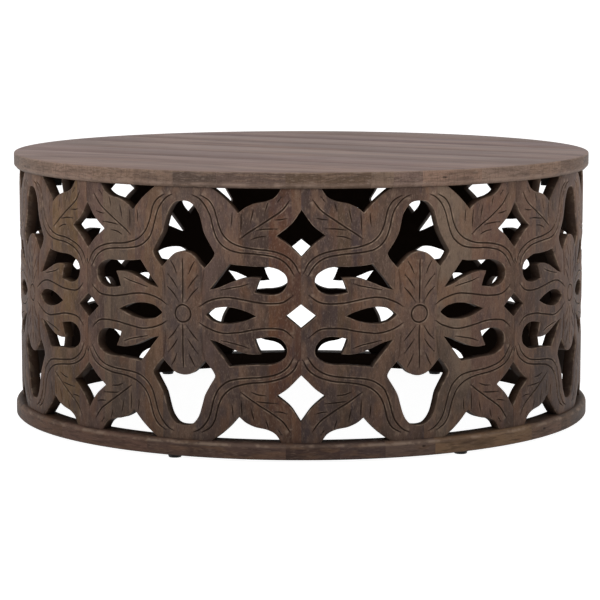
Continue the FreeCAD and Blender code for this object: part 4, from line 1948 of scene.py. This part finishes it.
@dataclass
class Fastenings:
    """The corner blocks under the top, and the screws, dowels and nails.

    Attributes:
        places: How many flowers go round the table, which set the places of the fasteners.
        block_screw_offset: How far beside a block's middle its screws are.
        base_screw_offset: How far beside each meeting of flowers the base screws are, along the arc.
        ring_joint_degrees: The angle of the first joint of the base ring.
        saw_break: The small bevel of a block's edges.
        proud: How far a screw's head stands out of the wood.
        back_steps: How many facets a block's curved back has.
        crease_degrees: The sharpest fold of a fastener that is shaded smooth.
        block_crease_degrees: The same for a block.
    """

    places: int = 8
    block_screw_offset: float = 15 * MM
    base_screw_offset: float = 20 * MM
    ring_joint_degrees: float = 14.4
    saw_break: float = 0.8 * MM
    proud: float = 0.08 * MM
    back_steps: int = 12
    crease_degrees: float = 35.0
    block_crease_degrees: float = 30.0

    def build(self) -> Iterator[Piece]:
        """Make the blocks and set the fasteners.

        Yields:
            Each block, and each node of fasteners.
        """
        yield from self._blocks()
        steel = ZincSteel().material()
        yield from self._fasteners(steel, DOWEL_WOOD.material())
        dress(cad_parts["foot_nails"], steel)

    def _fasteners(self, steel: Material, beech: Material) -> Iterator[Piece]:
        """Set the screws and dowels round the table, where the CAD has them.

        Args:
            steel: The screws' material.
            beech: The dowels' material.

        Yields:
            Each node of fasteners.
        """
        step = math.tau / self.places
        first = step / 2
        ring_joint = math.radians(self.ring_joint_degrees)
        seam = Drum.panel_angle / 2
        block_inner, _, block_bottom, block_top = reach_of(nodes_of("corner_block"))
        ring_inner, ring_outer, _, _ = reach_of(nodes_of("base_segment"))
        wall_middle_radius = (Drum.wall_inner_radius + Drum.wall_radius) / 2
        toward = np.array([math.sin(first), -math.cos(first)])
        top_low, top_high = (corner.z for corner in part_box("top_screws"))
        base_low, base_high = (corner.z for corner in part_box("base_screws"))
        seam_low, seam_high = (corner.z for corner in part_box("seam_dowels"))
        ring_low, ring_high = (corner.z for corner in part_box("ring_dowels"))
        wall_length = float((node_points("wall_screws")[:, :2] @ toward).max() - block_inner)
        top_radius = float((node_points("top_screws")[:, :2] @ toward).max()) - Screw(0.0).head_radius
        dowel_radius = (ring_high - ring_low) / 2
        seam_dowel = FlutedDowel(self._span("seam_dowels", seam), dowel_radius)
        ring_dowel = FlutedDowel(self._span("ring_dowels", ring_joint), dowel_radius)
        sideways = (0.0, math.pi / 2, 0.0)
        jobs = (
            ("top_screws", Screw(top_high - top_low), steel, "fastener_steel", {
                "Radius": top_radius, "Sideways": self.block_screw_offset,
                "Height": block_bottom - self.proud, "First Angle": first}),
            ("wall_screws", Screw(wall_length), steel, "fastener_steel", {
                "Radius": block_inner - self.proud, "Sideways": -self.block_screw_offset,
                "Height": (block_bottom + block_top) / 2, "First Angle": first,
                "Tilt": (math.pi / 2, 0.0, 0.0)}),
            ("base_screws", Screw(base_high - base_low), steel, "fastener_steel", {
                "Count": 2 * self.places, "Per Place": 2, "Radius": wall_middle_radius,
                "Height": base_low - self.proud, "Spread": 2 * self.base_screw_offset / wall_middle_radius}),
            ("seam_dowels", seam_dowel, beech, "dowel_wood", {
                "Per Place": 2, "Radius": wall_middle_radius, "Height": (seam_low + seam_high) / 2,
                "Rise": seam_high - seam_low - 2 * dowel_radius, "First Angle": seam,
                "Step Angle": Drum.panel_angle, "Tilt": sideways}),
            ("ring_dowels", ring_dowel, beech, "dowel_wood", {
                "Radius": (ring_inner + ring_outer) / 2, "Height": (ring_low + ring_high) / 2,
                "First Angle": ring_joint, "Tilt": sideways}),
        )
        tree = placing_tree()
        for seed, (name, fastener, material, slot, values) in enumerate(jobs, 1):
            piece = stack_piece(f"{name}_detailed", fastener.rings())
            piece.data.materials.append(material)
            apply_tree(piece, tree, {
                "Count": self.places, "Per Place": 1, "Sideways": 0.0, "Rise": 0.0, "First Angle": 0.0,
                "Step Angle": step, "Spread": 0.0, "Tilt": (0.0, 0.0, 0.0), "Seed": seed,
                "Material": material, **values})
            yield hand_over(piece, slot, name, self.crease_degrees)

    def _span(self, name: str, joint: float) -> float:
        """Measure how long the dowels of a node are, along the wall.

        Args:
            name: The node's name.
            joint: The angle of the joint of one of them.

        Returns:
            Their length.
        """
        points = node_points(name)
        turns = np.arctan2(points[:, 0], -points[:, 1])
        reach = 0.1
        near = points[np.abs(turns - joint) < reach][:, :2]
        return float(np.ptp(near @ np.array([math.cos(joint), math.sin(joint)])))

    def _blocks(self) -> Iterator[Piece]:
        """Make the blocks, sawn to a curved back that seats on the wall.

        Yields:
            Each block.
        """
        finish = BLOCK_WOOD.material()
        for name in nodes_of("corner_block"):
            points = node_points(name)
            middle = (points.min(0) + points.max(0)) / 2
            angle = math.atan2(middle[0], -middle[1])
            along = np.array([math.cos(angle), math.sin(angle)])
            out = np.array([math.sin(angle), -math.cos(angle)])
            half = float((points[:, :2] @ along).max())
            face = float((points[:, :2] @ out).min())
            low, high = float(points[:, 2].min()), float(points[:, 2].max())
            rings = []
            for inset, height in (
                    (self.saw_break, low), (0.0, low + self.saw_break), (0.0, high - self.saw_break),
                    (self.saw_break, high)):
                sides = np.linspace(half - inset, inset - half, self.back_steps + 1)
                back = np.sqrt((Drum.wall_inner_radius - inset) ** 2 - sides**2)
                corners = np.vstack([
                    [(inset - half, face + inset), (half - inset, face + inset)],
                    np.column_stack([sides, back])])
                flat = corners[:, :1] * along + corners[:, 1:] * out
                rings.append(np.column_stack([flat, np.full(len(flat), height)])[::-1])
            piece = stack_piece(f"block_{name[-1]}", rings)
            dress(piece, finish)
            yield hand_over(piece, "block_wood", name, self.block_crease_degrees)


@dataclass(frozen=True)
class ZincSteel:
    """Wood screws of zinc-plated steel: bright, with the slightly mottled skin of barrel plating."""

    name: str = "zinc_plated_steel"
    bright: str = "#c9c8c2"
    dull: str = "#9d9b92"
    mottle: float = 1.2
    roughness: tuple[float, float] = (0.5, 0.28)

    def material(self) -> Material:
        """Build the material.

        Returns:
            The material.
        """
        material = bpy.data.materials.new(self.name)
        tree = emptied_tree(material)
        place = add_node(tree, "ShaderNodeTexCoord").outputs["Object"]
        noise = add_node(
            tree, "ShaderNodeTexNoise", {"Vector": place, "Scale": 1 / (self.mottle * MM), "Detail": 3.0})
        inputs = {0: noise, 6: linear(self.dull), 7: linear(self.bright)}
        colour = add_node(tree, "ShaderNodeMix", inputs, data_type="RGBA").outputs[2]
        rough = add_node(tree, "ShaderNodeMapRange", {0: noise, 3: self.roughness[0], 4: self.roughness[1]})
        surface = add_node(
            tree, "ShaderNodeBsdfPrincipled", {"Base Color": colour, "Roughness": rough, "Metallic": 1.0})
        add_node(tree, "ShaderNodeOutputMaterial", {0: surface})
        return material


# The dowels: plain turned beech, pale pinkish brown with short dark flecks.
DOWEL_WOOD = WashedWood(
    name="turned_beech",
    tones=((0.0, "#c49b72"), (0.5, "#bd946c")),
    figures=(
        Figure((1.2, 6, 60), (0.4, 0.7), "#b0875f", 0.5),
        Figure((0.4, 2, 5), (0.6, 0.72), "#8d6743", 0.5, detail=2.0),
    ),
)


# The corner blocks: sawn mango wood, near-black like the inside: a dark stain, deepened as painted shade.
BLOCK_WOOD = WashedWood(
    name="stained_mango_blocks",
    tones=((0.0, "#1c1613"), (0.5, "#191411")),
    figures=(
        Figure((6, 20, 120), (0.45, 0.7), "#120e0c", 0.6),
        Figure((1.2, 8, 60), (0.5, 0.75), "#2b221d", 0.5),
    ),
    relief=0.2,
)


# Stage, light and camera


@dataclass
class Studio:
    """The floor, the light and the camera of a plain white studio.

    Attributes:
        floor_radius: The radius of the floor.
        camera_place: Where the camera stands.
        camera_pitch_degrees: How far it looks down.
        lens_mm: Its focal length, on a 36 mm sensor.
        camera_shift: How far the frame is shifted sideways, as a share of its width.
    """

    floor_radius: float = 90.0
    camera_place: tuple[float, float, float] = (0.0, -4.079, 0.716)
    camera_pitch_degrees: float = 7.493
    lens_mm: float = 153.14
    camera_shift: float = -0.0021

    def build(self) -> None:
        """Set up the whole stage."""
        self._floor()
        self._world()
        self._lamps()
        self._camera()
        bpy.context.scene.view_settings.view_transform = "Standard"

    def _floor(self) -> None:
        """Lay a white floor that keeps the table's soft shadow, and can be seen through from below."""
        angles = np.linspace(0, math.tau, 96, endpoint=False)
        points = np.column_stack([np.cos(angles), np.sin(angles), 0 * angles]) * self.floor_radius
        floor = make_piece("studio_floor", points, [range(len(points))])
        material = bpy.data.materials.new("white_studio_floor")
        tree = emptied_tree(material)
        lit_tone, seen_tone, seen_glow = "#e6e6e6", "#b4b4b4", 0.965
        lit = add_node(tree, "ShaderNodeBsdfDiffuse", {"Color": linear(lit_tone)})
        dim = add_node(tree, "ShaderNodeBsdfDiffuse", {"Color": linear(seen_tone)})
        glow = add_node(tree, "ShaderNodeEmission", {"Strength": seen_glow})
        bright = add_node(tree, "ShaderNodeAddShader", {0: dim, 1: glow})
        mixed = add_node(tree, "ShaderNodeMixShader", {0: self._seen(tree), 1: lit, 2: bright})
        side = add_node(tree, "ShaderNodeNewGeometry")
        clear = add_node(tree, "ShaderNodeBsdfTransparent")
        one_sided = add_node(
            tree, "ShaderNodeMixShader", {0: side.outputs["Backfacing"], 1: mixed, 2: clear})
        add_node(tree, "ShaderNodeOutputMaterial", {0: one_sided})
        dress(floor, material)
        floor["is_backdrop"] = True

    @staticmethod
    def _seen(tree: Tree) -> Socket | Node:
        """Say whether a ray sees the studio, straight, mirrored or through glass.

        Args:
            tree: The tree that asks.

        Returns:
            1 for such a ray, and 0 for one that carries light to the table.
        """
        path = add_node(tree, "ShaderNodeLightPath")
        seen = path.outputs["Is Camera Ray"]
        for kind in ("Is Glossy Ray", "Is Transmission Ray"):
            seen = add_node(tree, "ShaderNodeMath", {0: seen, 1: path.outputs[kind]}, operation="MAXIMUM")
        return seen

    def _world(self) -> None:
        """Fill the studio with plain white light."""
        world = bpy.data.worlds.new("studio_light")
        bpy.context.scene.world = world
        tree = emptied_tree(world)
        table_light, seen_light = 0.4, 1.0
        level = add_node(tree, "ShaderNodeMapRange", {0: self._seen(tree), 3: table_light, 4: seen_light})
        light = add_node(tree, "ShaderNodeBackground", {"Color": (1.0, 1.0, 1.0, 1.0), "Strength": level})
        add_node(tree, "ShaderNodeOutputWorld", {0: light})

    def _lamps(self) -> None:
        """Hang a large soft box over the table and stand two in front."""
        boxes = (
            ("overhead_box", (0.0, -0.6, 3.2), 2.6, 34.0),
            ("front_left_box", (-2.6, -3.6, 1.9), 1.8, 32.0),
            ("front_right_box", (3.0, -3.2, 1.5), 1.8, 20.0),
        )
        for name, place, size, watts in boxes:
            lamp = bpy.data.lights.new(name, "AREA")
            lamp.size = size
            lamp.energy = watts
            holder = bpy.data.objects.new(name, lamp)
            holder.location = place
            aim = Vector((0.0, 0.0, Drum.wall_middle)) - Vector(place)
            holder.rotation_euler = aim.to_track_quat("-Z", "Y").to_euler()
            bpy.context.scene.collection.objects.link(holder)

    def _camera(self) -> None:
        """Stand the camera at the photograph's viewing angle."""
        camera = bpy.data.cameras.new("studio_camera")
        camera.sensor_width = 36.0
        camera.lens = self.lens_mm
        camera.shift_x = self.camera_shift
        camera.clip_end = 2 * self.floor_radius
        holder = bpy.data.objects.new("studio_camera", camera)
        holder.location = self.camera_place
        holder.rotation_euler = (math.radians(90 - self.camera_pitch_degrees), 0.0, 0.0)
        bpy.context.scene.collection.objects.link(holder)
        bpy.context.scene.camera = holder


def write_sizes() -> None:
    """Work out the CAD box and the visual model's box as plain lists of numbers, which are not kept.
    """
    boxes = {"cad": cad_box, "visual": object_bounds()}
    {key: [list(corner) for corner in box] for key, box in boxes.items()}


def main() -> None:
    """Build the studio and every part of the table."""
    logging.basicConfig(level=logging.INFO, format="%(message)s")
    Studio().build()
    for assembly in (CarvedWall(), PlankTop(), BaseRing(), Glides(), Fastenings()):
        for piece in assembly.build():
            LOG.info("%-24s %7d faces", piece.name, len(piece.data.polygons))
    write_sizes()


if __name__ == "__main__":
    main()
